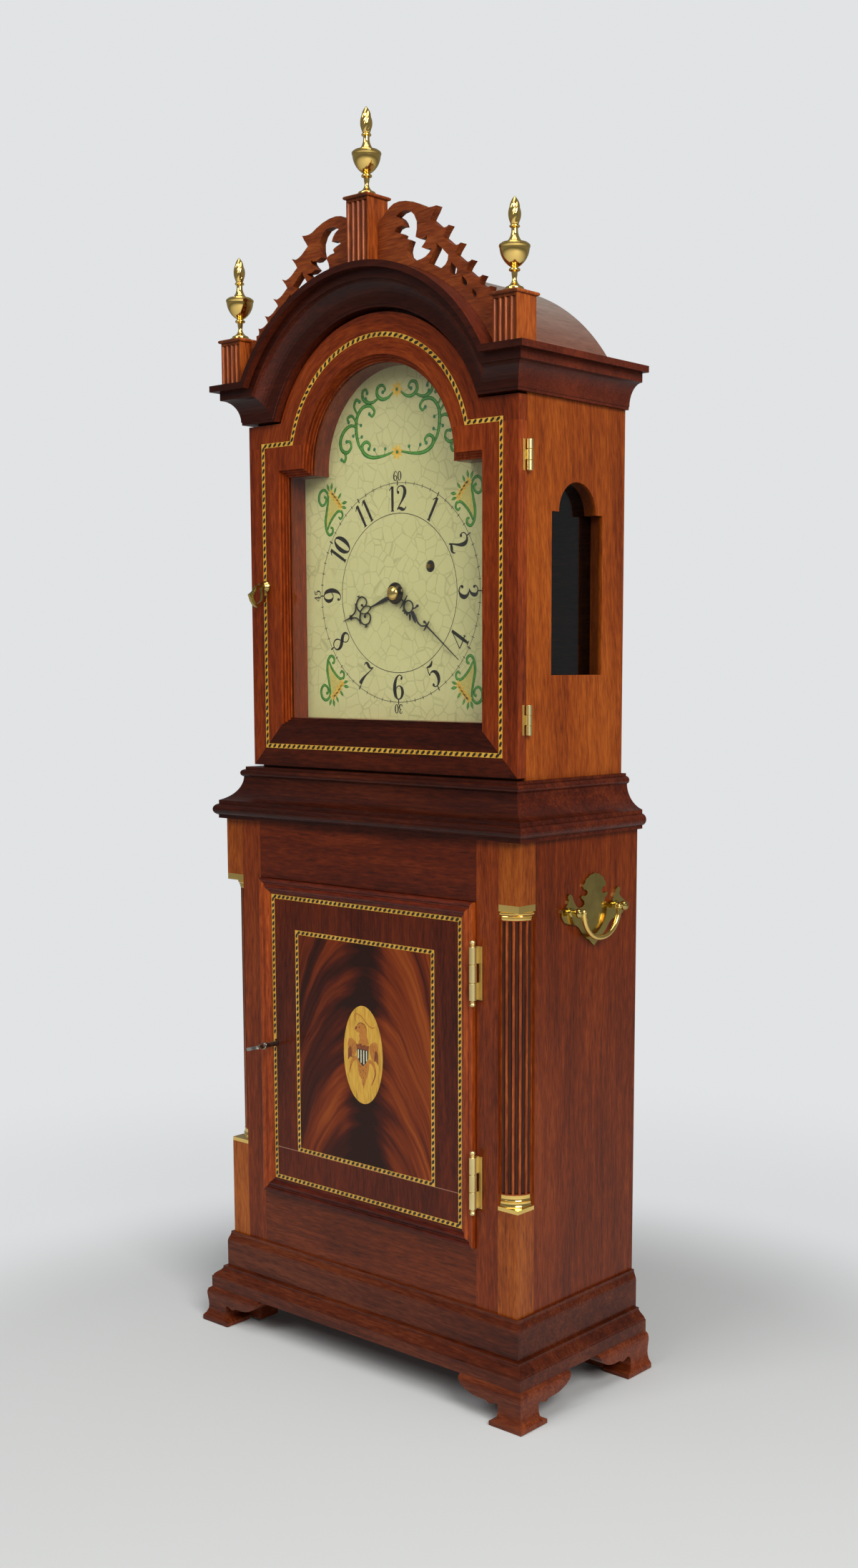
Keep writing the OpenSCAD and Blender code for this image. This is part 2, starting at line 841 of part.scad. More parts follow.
module fret_right() {
    color(mahogany) placed() fret();
}

module fret_left() {
    color(mahogany) placed() mirror([1, 0, 0]) fret();
}

// Radii and heights of a turned finial, as shares of its cup and of its height
module finial() {
    k = finial_h / 63.8;
    r = finial_r / 10.95;
    rotate_extrude($fn = 48)
        polygon([for (p = concat(
            [[0, 0], [8.4, 0], [8.7, 0.5], [8.4, 1.2], [7, 1.7]], arc([6.6, 1.9], [5.6, 3.5], -0.4, 3),
            arc([5.1, 3.7], [1.95, 10.8], 1.5, 6), [[2.2, 13.4]], arc([3.1, 13.8], [3.1, 15.8], -0.9, 5),
            [[2.2, 16.2]], arc([2.6, 16.6], [10.5, 29.4], -1.9, 10), [[10.9, 29.9], [10.95, 31]],
            [[10.4, 31.7], [9.3, 32.1], [9.1, 32.6], [6.6, 33]], arc([5.4, 33.4], [2.4, 42.6], 1.1, 6),
            arc([2.9, 42.9], [2.9, 44.5], -0.8, 4), [[2.5, 44.8]], arc([2.7, 45], [4.4, 52.2], -0.45, 4),
            arc([4.4, 52.2], [0, 63.8], -1.3, 7))) [p[0] * r, p[1] * k]]);
}

module finial_middle() {
    color(brass) placed()
        translate([0, plinth_y, plinth_foot + plinth_top_h])
            finial();
}

module finial_right() {
    color(brass) placed()
        translate([plinth_x, plinth_y, deck_z + plinth_side_h])
            finial();
}

module finial_left() {
    color(brass) placed()
        translate([-plinth_x, plinth_y, deck_z + plinth_side_h])
            finial();
}

// Lower door
door_half = frame_in - door_gap;
door_z0 = case_z + rail_foot_h + door_gap * 0.3;
door_z1 = waist_z - rail_top_h - door_gap * 0.3;
door_mid = (door_z0 + door_z1) / 2;
door_half_h = (door_z1 - door_z0) / 2;
field_y = -1;

// Section of the lip: distance in from the door's edge, and depth in front
lip_section = [for (p = [[0, 0], [0, 3.4], [1, 3.6], [3, 3.4], [3.6, 2.4], [4.8, 2.2],
    [5.6, 3], [6.6, 3.6], [7.8, 3.6], [8.8, 3], [9.6, 1.9], [10.4, 1.6], [12, 1.5], [12, 0]])
    [p[0] * lip_w / 12, p[1] <= 1 ? p[1] : 1 + (p[1] - 1) * (lip_h - 1) / 2.6]];

// A border that follows a rectangle, mitred at its corners
module lip_border() {
    long = door_half_h * 2;
    for (turn = [0:3]) {
        across = turn % 2 == 0 ? door_half : door_half_h;
        up = turn % 2 == 0 ? door_half_h : door_half;
        translate([0, 0, door_mid])
            rotate([0, 90 * turn, 0])
                intersection() {
                    translate([-across, 0, 0])
                        rotate([90, 0, 90])
                            linear_extrude(across * 2)
                                polygon([for (p = lip_section) [-p[1], up - p[0]]]);
                    front_slab(-lip_h - 5, 5)
                        polygon([[-across, up], [across, up],
                            [across - lip_w - 2, up - lip_w - 2], [-across + lip_w + 2, up - lip_w - 2]]);
                }
    }
}

module ring_shape(half_w, half_h, width) {
    difference() {
        square([half_w * 2, half_h * 2], center = true);
        square([(half_w - width) * 2, (half_h - width) * 2], center = true);
    }
}

outer_w = door_half - lip_w - string_margin;
outer_h = door_half_h - lip_w - string_margin;
inner_w = outer_w - string_w - border_w;
inner_h = outer_h - string_w - border_w;
inlay_t = 1;
key_x = -door_half + 16.4;
key_z = door_mid - 4.5;

module lower_inlay_shape(grow) {
    translate([0, door_mid]) {
        ring_shape(outer_w + grow, outer_h + grow, string_w + grow * 2);
        ring_shape(inner_w + grow, inner_h + grow, string_w + grow * 2);
        scale([1, (oval_h + grow) / (oval_w + grow)])
            circle(r = oval_w + grow);
    }
}

hinge_x = door_half + 2.4;
hinge_y = field_y - 4.6;
hinge_low = door_z0 + hinge_inset;
hinge_high = door_z1 - hinge_inset;

module lower_door() {
    color(mahogany) placed() difference() {
        union() {
            box(-door_half, door_half, field_y, field_y + door_t, door_z0, door_z1);
            lip_border();
        }
        front_slab(field_y - 1, field_y + inlay_t)
            lower_inlay_shape(0);
        translate([key_x, field_y - 5, key_z])
            rotate([-90, 0, 0])
                cylinder(r = 2.25 + pin_gap, h = door_t + 10);
    }
}

module lower_door_inlay() {
    color(cream) placed() difference() {
        front_slab(field_y, field_y + inlay_t - 0.02)
            lower_inlay_shape(-0.04);
        translate([key_x, field_y - 5, key_z])
            rotate([-90, 0, 0])
                cylinder(r = 3.6, h = door_t + 10);
    }
}

// Barrels along a hinge line: the case carries both ends, the door the middle
module barrel(r, bore, z0, z1) {
    translate([0, 0, z0])
        difference() {
            cylinder(r = r, h = z1 - z0, $fn = 40);
            translate([0, 0, -1])
                cylinder(r = bore, h = z1 - z0 + 2, $fn = 40);
        }
}

module case_hinge(r, length, pin) {
    end = length / 2;
    third = length / 6;
    translate([0, 0, -end])
        cylinder(r = r, h = end - third - 0.2, $fn = 40);
    translate([0, 0, third + 0.2])
        cylinder(r = r, h = end - third - 0.2, $fn = 40);
    translate([0, 0, -end])
        cylinder(r = pin, h = length, $fn = 40);
    for (s = [-1, 1])
        translate([0, 0, s * (end + r * 0.55)])
            sphere(r = r * 0.9, $fn = 32);
}

module lower_case_hinge(z) {
    third = hinge_l / 6;
    translate([hinge_x, hinge_y, z])
        case_hinge(hinge_r, hinge_l, hinge_r / 2);
    for (s = [-1, 1]) {
        z0 = s < 0 ? z - hinge_l / 2 : z + third + 0.2;
        z1 = s < 0 ? z - third - 0.2 : z + hinge_l / 2;
        box(frame_in + 0.2, hinge_x + 1.2, hinge_y + hinge_r * 0.4, 0, z0, z1);
    }
    box(frame_in + 0.2, hinge_x + 4, -1.4, 0, z - hinge_l / 2, z + hinge_l / 2);
}

hood_hinge_x = hood_half + hood_hinge_r + 0.4;
hood_hinge_y = door_back + 0.15;
hood_hinge_low = hood_z + 43.6;
hood_hinge_high = crown_z - 43;

module hood_case_hinge(z) {
    third = hood_hinge_l / 6;
    translate([hood_hinge_x, hood_hinge_y, z])
        case_hinge(hood_hinge_r, hood_hinge_l, hood_hinge_r / 2);
    for (s = [-1, 1]) {
        z0 = s < 0 ? z - hood_hinge_l / 2 : z + third + 0.2;
        z1 = s < 0 ? z - third - 0.2 : z + hood_hinge_l / 2;
        box(hood_half, hood_hinge_x, hood_hinge_y + hood_hinge_r * 0.4, seam_y + 9, z0, z1);
    }
}

module case_hinges() {
    color(brass) placed() {
        lower_case_hinge(hinge_low);
        lower_case_hinge(hinge_high);
        difference() {
            union() {
                hood_case_hinge(hood_hinge_low);
                hood_case_hinge(hood_hinge_high);
            }
            box(hood_half + 1.2, hood_hinge_x + 9, hood_hinge_y + hood_hinge_r + 0.2, seam_y + 12,
                hood_z, crown_z);
        }
    }
}

module door_hinge(x, y, z, r, length) {
    third = length / 6;
    translate([x, y, 0])
        barrel(r, r / 2 + pin_gap, z - third, z + third);
}

module lower_door_hinges() {
    third = hinge_l / 6;
    color(brass) placed()
        for (z = [hinge_low, hinge_high]) {
            difference() {
                union() {
                    door_hinge(hinge_x, hinge_y, z, hinge_r, hinge_l);
                    box(door_half - 5, hinge_x - hinge_r * 0.6, -lip_h - 1.2, -lip_h - 0.02,
                        z - third, z + third);
                }
                translate([hinge_x, hinge_y, z - third - 1])
                    cylinder(r = hinge_r / 2 + pin_gap, h = third * 2 + 2, $fn = 40);
            }
        }
}

// Hood door
hood_foot = hood_z + 1.8;
hood_top = crown_z - 1.5;

module hood_outline(inset) {
    translate([-hood_half + inset, hood_foot + inset])
        square([(hood_half - inset) * 2, hood_top - hood_foot - inset * 2]);
    intersection() {
        translate([0, arch_z])
            circle(r = arch_r - inset, $fn = 128);
        translate([-hood_half, hood_top - inset - 1])
            square([hood_w, arch_r * 2]);
    }
}

rope_inset = 14.2;
rope_w = 3.6;

module rope_shape(grow) {
    difference() {
        hood_outline(rope_inset - grow);
        hood_outline(rope_inset + rope_w + grow);
    }
}

hood_key_x = -hood_half + 17.5;
hood_key_z = hub_z + 7.6;

module hood_door() {
    color(mahogany) placed() difference() {
        front_slab(hood_set, door_back)
            difference() {
                hood_outline(0);
                sight_shape(0);
            }
        front_slab(hood_set - 1, hood_set + 2.2)
            sight_shape(5);
        front_slab(hood_set + 2.1, hood_set + 4.2)
            sight_shape(3.4);
        front_slab(hood_set + 4.1, hood_set + 5.8)
            sight_shape(1.7);
        front_slab(door_back - pane_t - 0.8, door_back + 1)
            sight_shape(4);
        front_slab(hood_set - 1, hood_set + inlay_t)
            rope_shape(0);
        translate([hood_key_x, hood_set - 1, hood_key_z])
            rotate([-90, 0, 0])
                cylinder(r = 1.9 + pin_gap, h = hood_door_t + 2);
    }
}

module hood_pane() {
    color([0.85, 0.9, 0.9, 0.3]) placed()
        front_slab(door_back - pane_t - 0.8, door_back - 0.8)
            sight_shape(4 - 2 * fit_gap);
}

module hood_door_inlay() {
    color(cream) placed() difference() {
        front_slab(hood_set, hood_set + inlay_t - 0.02)
            rope_shape(-0.04);
        translate([hood_key_x, hood_set - 1, hood_key_z])
            rotate([-90, 0, 0])
                cylinder(r = 3.2, h = hood_door_t + 2);
    }
}

module hood_door_hinges() {
    third = hood_hinge_l / 6;
    color(brass) placed()
        for (z = [hood_hinge_low, hood_hinge_high])
            difference() {
                union() {
                    door_hinge(hood_hinge_x, hood_hinge_y, z, hood_hinge_r, hood_hinge_l);
                    box(hood_half, hood_hinge_x - hood_hinge_r * 0.7, door_back - 7.4,
                        hood_hinge_y, z - third, z + third);
                    box(hood_half, hood_hinge_x, hood_hinge_y - hood_hinge_r,
                        hood_hinge_y - hood_hinge_r * 0.55, z - third, z + third);
                }
                translate([hood_hinge_x, hood_hinge_y, z - third - 1])
                    cylinder(r = hood_hinge_r / 2 + pin_gap, h = third * 2 + 2, $fn = 40);
            }
}

// Turned work along the Y axis: radii, and distances in front of a plane
module turned(x, y, z, points) {
    translate([x, y, z])
        rotate([90, 0, 0])
            rotate_extrude($fn = 40)
                polygon(points);
}

module lower_key() {
    collar = key_out - 13.2;
    color(steel) placed() {
        turned(key_x, 0, key_z, [[0, -door_t + 4], [2.25, -door_t + 4], [2.25, collar - 4.6],
            [2.9, collar - 4.2], [3.1, collar - 3.4], [2.9, collar - 2.6], [2.2, collar - 2.2],
            [1.9, collar + 1.4], [0, collar + 1.4]]);
        // flat oval bow
        translate([key_x, -key_out + 6.6, key_z])
            rotate([0, -key_lean, 0])
                linear_extrude(2.6, center = true)
                    difference() {
                        scale([1.1, 1])
                            circle(r = 6.6);
                        scale([1.14, 1])
                            circle(r = 4.3);
                    }
        turned(key_x, -key_out + 0.6, key_z, [[0, -0.6], [1.5, -0.6], [1.4, 0.3], [0, 0.6]]);
    }
}

module hood_key() {
    color(brass) placed() {
        turned(hood_key_x, hood_set, hood_key_z, [[0, -hood_door_t + 1], [1.9, -hood_door_t + 1],
            [1.9, 0.25], [4.75, 0.25], [4.6, 1.4], [3.4, 3], [2.6, 4], [2.4, 6], [0, 6]]);
        // pointed bow with an open middle, that hangs below the stem
        k = hood_key_out / 19.4;
        translate([hood_key_x, hood_set, hood_key_z])
            side_slab(-1.3, 1.3)
                difference() {
                    polygon([for (p = [[3, 1.4], [4.2, 2.8], [5.7, 3.2], [7.4, 2.5], [8.9, 0.9],
                        [10.8, 1], [12.4, 0.4], [13.3, -1.2], [14.6, -3.4], [16.6, -5], [19.4, -6.6],
                        [18.3, -8.9], [17.4, -11.4], [15.4, -14.1], [13, -15.9], [10.7, -16.8],
                        [8.4, -15.9], [6.2, -13.9], [4.2, -12.9], [2, -11.6], [2, -9.8], [3.3, -8],
                        [3.5, -4.6]]) [-p[0] * k, p[1]]]);
                    polygon([for (p = [[5.9, -0.4], [7.8, -1.2], [10.4, -1.4], [12.2, -3.4],
                        [15.6, -6.9], [15.4, -10], [13.2, -12.8], [10.7, -14], [8.2, -12.6],
                        [5.8, -10.6], [5.4, -6]]) [-p[0] * k, p[1]]]);
                }
    }
}

// Side handles
handle_y = 88;
handle_z = waist_z - handle_down;

module handle_plate_shape() {
    half_shape = [[0, -28], [3.4, -25.6], [6.4, -22.9], [9.4, -21.6], [12.2, -19.8],
        [15.4, -16.6], [19, -12.6], [22.4, -10.4], [27, -9.4], [32.6, -8.2], [36.6, -6.8],
        [38.8, -4.4], [40.2, -1.8], [40.2, 0.8], [38.6, 2.8], [35.2, 4.6], [32.6, 6.8],
        [31.5, 9], [32.7, 11.2], [32.5, 12.9], [30.8, 13.8], [28.9, 13.4], [27.4, 12],
        [26.3, 9.4], [24.6, 6.6], [22.2, 3.8], [19.4, 2.4], [15, 2.8], [12.6, 4.7],
        [12.8, 7], [15.6, 8.8], [16.8, 10.3], [15.4, 11.3], [11.6, 10.8], [9, 11.8],
        [8.6, 13.6], [10.8, 15.4], [13.5, 16], [14.4, 17.8], [13.5, 19.7], [11.8, 20.7],
        [11.4, 22.3], [10, 23.7], [8, 24.3], [6.8, 25.4], [5, 26.2], [2.6, 26.4], [0, 27.2]];
    k = boring / 57;
    polygon(concat(half_shape * k,
        [for (i = [len(half_shape) - 2:-1:1]) [-half_shape[i][0] * k, half_shape[i][1] * k]]));
}

module handle() {
    axis = half + bail_out;
    side_slab(half, half + plate_brass)
        translate([handle_y, handle_z])
            handle_plate_shape();
    for (s = [-1, 1])
        translate([0, handle_y + s * boring / 2, handle_z])
            difference() {
                rotate([0, 90, 0])
                    rotate_extrude($fn = 40)
                        polygon([[0, half - 9], [1.9, half - 9], [1.9, half],
                            [3.4, half], [3.4, half + plate_brass + 0.8], [2.2, half + plate_brass + 1.6],
                            [2.1, axis - 2.9], [2.9, axis - 2.4], [3.5, axis - 1.3], [3.7, axis],
                            [3.5, axis + 1.3], [2.9, axis + 2.3], [1.6, axis + 3.3], [0, axis + 3.6]]);
                translate([axis, -s * 0.8, 0])
                    rotate([s * 90, 0, 0])
                        cylinder(r = 1.2 + pin_gap, h = 8, $fn = 32);
            }
}

module handle_right() {
    color(brass) placed() handle();
}

module handle_left() {
    color(brass) placed() mirror([1, 0, 0]) handle();
}

module bail() {
    axis = half + bail_out;
    arm = boring / 2 - 6.4;
    bend = bail_drop;
    translate([axis, handle_y, handle_z]) {
        for (s = [-1, 1]) {
            translate([0, s * (arm - bend), 0])
                rotate([0, 90, 0])
                    rotate([0, 0, s > 0 ? 0 : -90])
                        rotate_extrude(angle = 90, $fn = 48)
                            translate([bend, 0])
                                circle(r = bail_r, $fn = 24);
            translate([0, s * arm, 0])
                sphere(r = bail_r + 0.4, $fn = 24);
            translate([0, s * (arm - 0.5), 0])
                rotate([-s * 90, 0, 0])
                    cylinder(r = 1.2, h = boring / 2 - 1.2 - arm + 0.5, $fn = 32);
        }
        translate([0, -arm + bend, -bend])
            rotate([-90, 0, 0])
                cylinder(r = bail_r, h = (arm - bend) * 2, $fn = 24);
    }
}

module bail_right() {
    color(brass) placed() bail();
}

module bail_left() {
    color(brass) placed() mirror([1, 0, 0]) bail();
}

// Dial and movement
great_x = 33.6;
great_z = hub_z + 19.6;
great_mod = 2 * norm([great_x, great_z - hub_z]) / (great_teeth + leaves);
third_x = -16;
third_z = hub_z + 17.9;
centre_mod = 2 * norm([third_x, third_z - hub_z]) / (centre_teeth + leaves);
escape_x = -4;
escape_z = hub_z + 31.85;
third_mod = 2 * norm([escape_x - third_x, escape_z - third_z]) / (third_teeth + leaves);
escape_r = 14;
anchor_z = escape_z + 19.4;

dial_half = hood_in - 3;

module dial() {
    color([0.78, 0.76, 0.58]) placed()
        front_slab(dial_front, dial_front + dial_t)
            difference() {
                window_shape(dial_half, hood_z + 26, arch_z + 12, arch_z, opening_r + 12);
                translate([0, hub_z])
                    circle(r = 5.5);
                translate([great_x, great_z])
                    circle(r = 4.6);
            }
}

// Straight-sided teeth, thinner than the spaces between them
function wheel_teeth(count, root, tip, thick_root, thick_tip) = [for (i = [0:count - 1])
    each [for (p = [[root, -thick_root], [tip, -thick_tip], [tip, thick_tip], [root, thick_root]])
        let (a = 360 * i / count + p[1] / p[0] * 180 / PI)
        [p[0] * cos(a), p[0] * sin(a)]]];

module wheel(count, module_size, thick) {
    pitch = count * module_size / 2;
    tooth = module_size * PI;
    linear_extrude(thick)
        polygon(wheel_teeth(count, pitch - module_size * 1.35, pitch + module_size * 0.8,
            tooth * 0.27, tooth * 0.1));
}

module pinion(module_size, thick) {
    pitch = leaves * module_size / 2;
    tooth = module_size * PI;
    linear_extrude(thick)
        polygon(wheel_teeth(leaves, pitch - module_size * 1.3, pitch + module_size * 0.55,
            tooth * 0.15, tooth * 0.11));
}

// Turn that brings a tooth of a wheel, drawn on its arbor, to face another arbor
function aim(dx, dz) = atan2(-dz, dx);
half_leaf = 180 / leaves;

// Brings a piece that is drawn upward on to the movement's axes, facing front
module on_arbor(x, z, y) {
    translate([x, y, z])
        rotate([-90, 0, 0])
            children();
}

module spokes(rim, hub, count, thick) {
    difference() {
        cylinder(r = rim, h = thick);
        translate([0, 0, -1])
            difference() {
                cylinder(r = rim - 2.2, h = thick + 2);
                cylinder(r = hub, h = thick + 2);
                for (i = [0:count - 1])
                    rotate([0, 0, 360 * i / count])
                        translate([0, -1.1, 0])
                            cube([rim, 2.2, thick + 2]);
            }
    }
}

module crossed_wheel(count, module_size, thick) {
    root = count * module_size / 2 - module_size * 1.35;
    difference() {
        wheel(count, module_size, thick);
        translate([0, 0, -1])
            cylinder(r = root - 2, h = thick + 2);
    }
    spokes(root - 1, 5, 4, thick);
}

pivot_r = 0.9;

module movement_plate_shape() {
    difference() {
        polygon([[-36, hub_z - 34], [44, hub_z - 34], [74, hub_z - 6], [74, hub_z + 46],
            [44, hub_z + 76], [-36, hub_z + 76], [-44, hub_z + 60], [-44, hub_z - 20]]);
        translate([0, hub_z])
            circle(r = 1.6 + pin_gap);
        translate([great_x, great_z])
            circle(r = 2.4 + pin_gap);
        translate([third_x, third_z])
            circle(r = pivot_r + pin_gap);
        translate([escape_x, escape_z])
            circle(r = pivot_r + pin_gap);
        translate([0, anchor_z])
            circle(r = 1.2 + pin_gap);
    }
}

module movement_frame() {
    color(brass) placed() {
        front_slab(front_plate, front_plate + plate_t)
            movement_plate_shape();
        front_slab(rear_plate, rear_plate + plate_t)
            movement_plate_shape();
        for (p = [[-34, hub_z - 20], [64, hub_z - 9], [-34, hub_z + 66], [56, hub_z + 58]])
            on_arbor(p[0], p[1], front_plate)
                cylinder(r = 3, h = back_y - front_plate);
    }
}

great_y = front_plate + plate_t + 5;

module great_wheel() {
    color(brass) placed() on_arbor(great_x, great_z, great_y) {
        rotate([0, 0, aim(-great_x, hub_z - great_z)])
            crossed_wheel(great_teeth, great_mod, 2.5);
        translate([0, 0, 2.5])
            cylinder(r = 9.5, h = 1.5);
        translate([0, 0, 4])
            cylinder(r = drum_r, h = 22);
        translate([0, 0, 26])
            cylinder(r = 9.5, h = 1.5);
        translate([0, 0, -5 - plate_t - 3])
            cylinder(r = 2.4, h = 46 + plate_t * 2);
        // squared end that the winding key fits
        translate([-1.5, -1.5, dial_front - great_y - 2])
            cube([3, 3, 20]);
    }
}

module minute_arbor() {
    on_arbor(0, hub_z, dial_front - 6.5)
        cylinder(r = 1.6, h = rear_plate + plate_t + 2 - dial_front + 6.5);
    on_arbor(0, hub_z, great_y - 1)
        rotate([0, 0, aim(great_x, great_z - hub_z) + half_leaf])
            pinion(great_mod, 6);
    on_arbor(0, hub_z, great_y + 8)
        rotate([0, 0, aim(third_x, third_z - hub_z)])
            crossed_wheel(centre_teeth, centre_mod, 2);
}

module centre_wheel() {
    color(brass) placed() minute_arbor();
}

module third_wheel() {
    color(brass) placed() on_arbor(third_x, third_z, great_y + 7) {
        rotate([0, 0, aim(-third_x, hub_z - third_z) + half_leaf])
            pinion(centre_mod, 6);
        rotate([0, 0, aim(escape_x - third_x, escape_z - third_z)])
            translate([0, 0, 8])
                crossed_wheel(third_teeth, third_mod, 1.8);
        translate([0, 0, -12 - plate_t - 1])
            cylinder(r = pivot_r, h = plate_gap + plate_t * 2 + 2);
    }
}

module escape_wheel() {
    color(brass) placed() on_arbor(escape_x, escape_z, great_y + 14) {
        rotate([0, 0, aim(third_x - escape_x, third_z - escape_z) + half_leaf])
            pinion(third_mod, 5);
        translate([0, 0, 7.5])
            difference() {
                linear_extrude(1.6)
                    polygon([for (i = [0:29])
                        each [[(escape_r - 3) * cos(i * 12), (escape_r - 3) * sin(i * 12)],
                            [escape_r * cos(i * 12 + 1), escape_r * sin(i * 12 + 1)],
                            [escape_r * cos(i * 12 + 2), escape_r * sin(i * 12 + 2)],
                            [(escape_r - 3) * cos(i * 12 + 6), (escape_r - 3) * sin(i * 12 + 6)]]]);
                translate([0, 0, -1])
                    cylinder(r = escape_r - 4.5, h = 4);
            }
        translate([0, 0, 7.5])
            spokes(escape_r - 4, 3, 4, 1.6);
        translate([0, 0, -19 - plate_t - 1])
            cylinder(r = pivot_r, h = plate_gap + plate_t * 2 + 2);
    }
}

hour_minutes = 60;
function hand_angle(minutes_a_turn) = 360 * rest_minutes / minutes_a_turn;

module minute_hand() {
    color("#26221f") placed()
        translate([0, 0, hub_z])
            rotate([0, hand_angle(hour_minutes), 0])
                front_slab(dial_front - 5.5, dial_front - 4.5)
                    difference() {
                        union() {
                            circle(r = 4);
                            polygon([[-1.4, -18], [1.4, -18], [1.2, 0], [1.5, 40], [0.5, minute_l - 6],
                                [0, minute_l], [-0.5, minute_l - 6], [-1.5, 40], [-1.2, 0]]);
                        }
                        circle(r = 1.6);
                    }
}

module hour_hand() {
    color("#26221f") placed() difference() {
        union() {
            translate([0, 0, hub_z])
                rotate([0, hand_angle(12 * hour_minutes), 0])
                    front_slab(dial_front - 3.6, dial_front - 2.6) {
                        circle(r = 5);
                        polygon([[-1.5, 0], [-1.8, 26], [-0.7, hour_l - 8], [0, hour_l],
                            [0.7, hour_l - 8], [1.8, 26], [1.5, 0]]);
                    }
            on_arbor(0, hub_z, dial_front - 3)
                cylinder(r = 3.4, h = 16.6);
        }
        on_arbor(0, hub_z, dial_front - 5)
            cylinder(r = 1.6 + pin_gap, h = 22);
    }
}

rod_y = dial_front + 12;

module anchor() {
    color(steel) placed() {
        on_arbor(0, anchor_z, rod_y + 1)
            cylinder(r = 1.2, h = rear_plate + plate_t + 2 - rod_y - 1);
        // the pallets stand just clear of the escape wheel over the whole swing
        on_arbor(0, anchor_z, great_y + 21.5)
            rotate([0, 0, aim(escape_x, escape_z - anchor_z) - 90])
                linear_extrude(1.6)
                    polygon([[-2.4, -3.4], [2.4, -3.4], [9.6, 0], [13.4, 5.4], [13.1, 11.1],
                        [12.1, 10.7], [11.4, 6.6], [8.2, 3.4], [0, 2.6], [-8.2, 3.4], [-11.4, 6.6],
                        [-12.1, 10.7], [-13.1, 11.1], [-13.4, 5.4], [-9.6, 0]]);
    }
}

module pendulum() {
    bob_z = anchor_z - pendulum_l;
    ring = 9;
    color(brass) placed() {
        difference() {
            front_slab(rod_y, rod_y + 1)
                difference() {
                    union() {
                        translate([-1.5, bob_z - bob_r - 16])
                            square([3, anchor_z - bob_z + bob_r + 20]);
                        translate([0, hub_z])
                            circle(r = ring);
                        translate([0, anchor_z])
                            circle(r = 4);
                    }
                    translate([0, hub_z])
                        circle(r = ring - 2.4);
                }
            on_arbor(0, anchor_z, rod_y - 1)
                cylinder(r = 1.2, h = 4);
        }
        translate([0, rod_y + 0.5, bob_z])
            rotate([90, 0, 0])
                rotate_extrude($fn = 96)
                    polygon([[0, -7.5], [bob_r * 0.5, -6], [bob_r * 0.85, -2.8], [bob_r, -0.5],
                        [bob_r, 0.5], [bob_r * 0.85, 2.8], [bob_r * 0.5, 6], [0, 7.5]]);
    }
}

drum_r = 6.5;
line_r = 0.8;
weight_down = 60;
weight_x = great_x + drum_r + line_r + 0.3;

// The driving weight hangs, fully wound, from a gut line on the drum
module weight() {
    top = hub_z - weight_down;
    y = great_y + 15;
    color("#4b4b4d") placed() {
        box(weight_x - weight_w / 2, weight_x + weight_w / 2, y - weight_d / 2, y + weight_d / 2,
            top - weight_h, top);
        translate([weight_x, y, top - 2])
            cylinder(r = 2.2, h = 12);
        translate([weight_x, y, top])
            cylinder(r = line_r, h = great_z - top, $fn = 24);
    }
}

foot_front_left();
foot_front_right();
foot_rear_left();
foot_rear_right();
base_moulding();
base_band();
floor_board();
case_side_left();
case_side_right();
case_back();
stile_left();
stile_right();
rail_top();
rail_foot();
corner_blocks_left();
corner_blocks_right();
column_left();
column_right();
column_brasses();
waist_moulding();
hood_side_left();
hood_side_right();
hood_back();
hood_mask();
roof();
crown_moulding();
plinth_middle();
plinth_left();
plinth_right();
fret_left();
fret_right();
finial_middle();
finial_left();
finial_right();
side_panes();
dial();
handle_left();
handle_right();
bail_left();
bail_right();
case_hinges();
lower_door();
lower_door_inlay();
lower_door_hinges();
lower_key();
hood_door();
hood_pane();
hood_door_inlay();
hood_door_hinges();
hood_key();
movement_frame();
minute_hand();
hour_hand();
centre_wheel();
great_wheel();
third_wheel();
escape_wheel();
anchor();
pendulum();
weight();
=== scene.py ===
import cmath
import math
import random

import bmesh
import bpy
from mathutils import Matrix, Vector


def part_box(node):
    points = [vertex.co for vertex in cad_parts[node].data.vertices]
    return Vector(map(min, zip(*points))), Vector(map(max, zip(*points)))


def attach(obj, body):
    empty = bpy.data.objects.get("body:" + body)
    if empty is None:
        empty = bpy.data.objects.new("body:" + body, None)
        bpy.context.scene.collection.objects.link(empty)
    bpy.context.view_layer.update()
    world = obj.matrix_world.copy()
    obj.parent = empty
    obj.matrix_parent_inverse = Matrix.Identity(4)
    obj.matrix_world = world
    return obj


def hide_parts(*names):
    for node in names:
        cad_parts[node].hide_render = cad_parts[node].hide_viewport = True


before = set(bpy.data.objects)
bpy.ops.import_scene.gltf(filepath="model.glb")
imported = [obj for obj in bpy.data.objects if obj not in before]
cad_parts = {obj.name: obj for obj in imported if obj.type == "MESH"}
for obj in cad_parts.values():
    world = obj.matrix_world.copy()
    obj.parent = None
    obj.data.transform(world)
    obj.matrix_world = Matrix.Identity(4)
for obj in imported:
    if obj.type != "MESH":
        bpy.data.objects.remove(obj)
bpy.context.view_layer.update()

# Sizes in millimetres
BACK = 56.6  # the origin lies this far behind the front of the lower case
HUB_Z = 612.2  # middle of the dial
ARCH_Z = 708.6  # middle of the hood's arch
HOOD_HALF, HOOD_FOOT, HOOD_TOP, HOOD_ARCH = 140, 476, 746.5, 109.7  # edges of the hood door
STRING = 3.6  # width of the stringing
BORDER = 23.6  # width of the banded border of the lower door
FLUTE, REVEAL = 1.7, 4  # depths of a column's flutes and of a side window's edge
MINUTE_RING, HOUR_RING = 83.7, 60.8  # radii

lip_low, lip_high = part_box("lower_door")
inlay_low, inlay_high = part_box("lower_door_inlay")
DOOR_MID = (lip_high.z + lip_low.z) * 500
DOOR_HALF = (lip_high.x * 1000, (lip_high.z - lip_low.z) * 500)
OUTER = (inlay_high.x * 1000, (inlay_high.z - inlay_low.z) * 500)  # to the edge of the outer stringing
INNER = tuple(size - STRING - BORDER for size in OUTER)


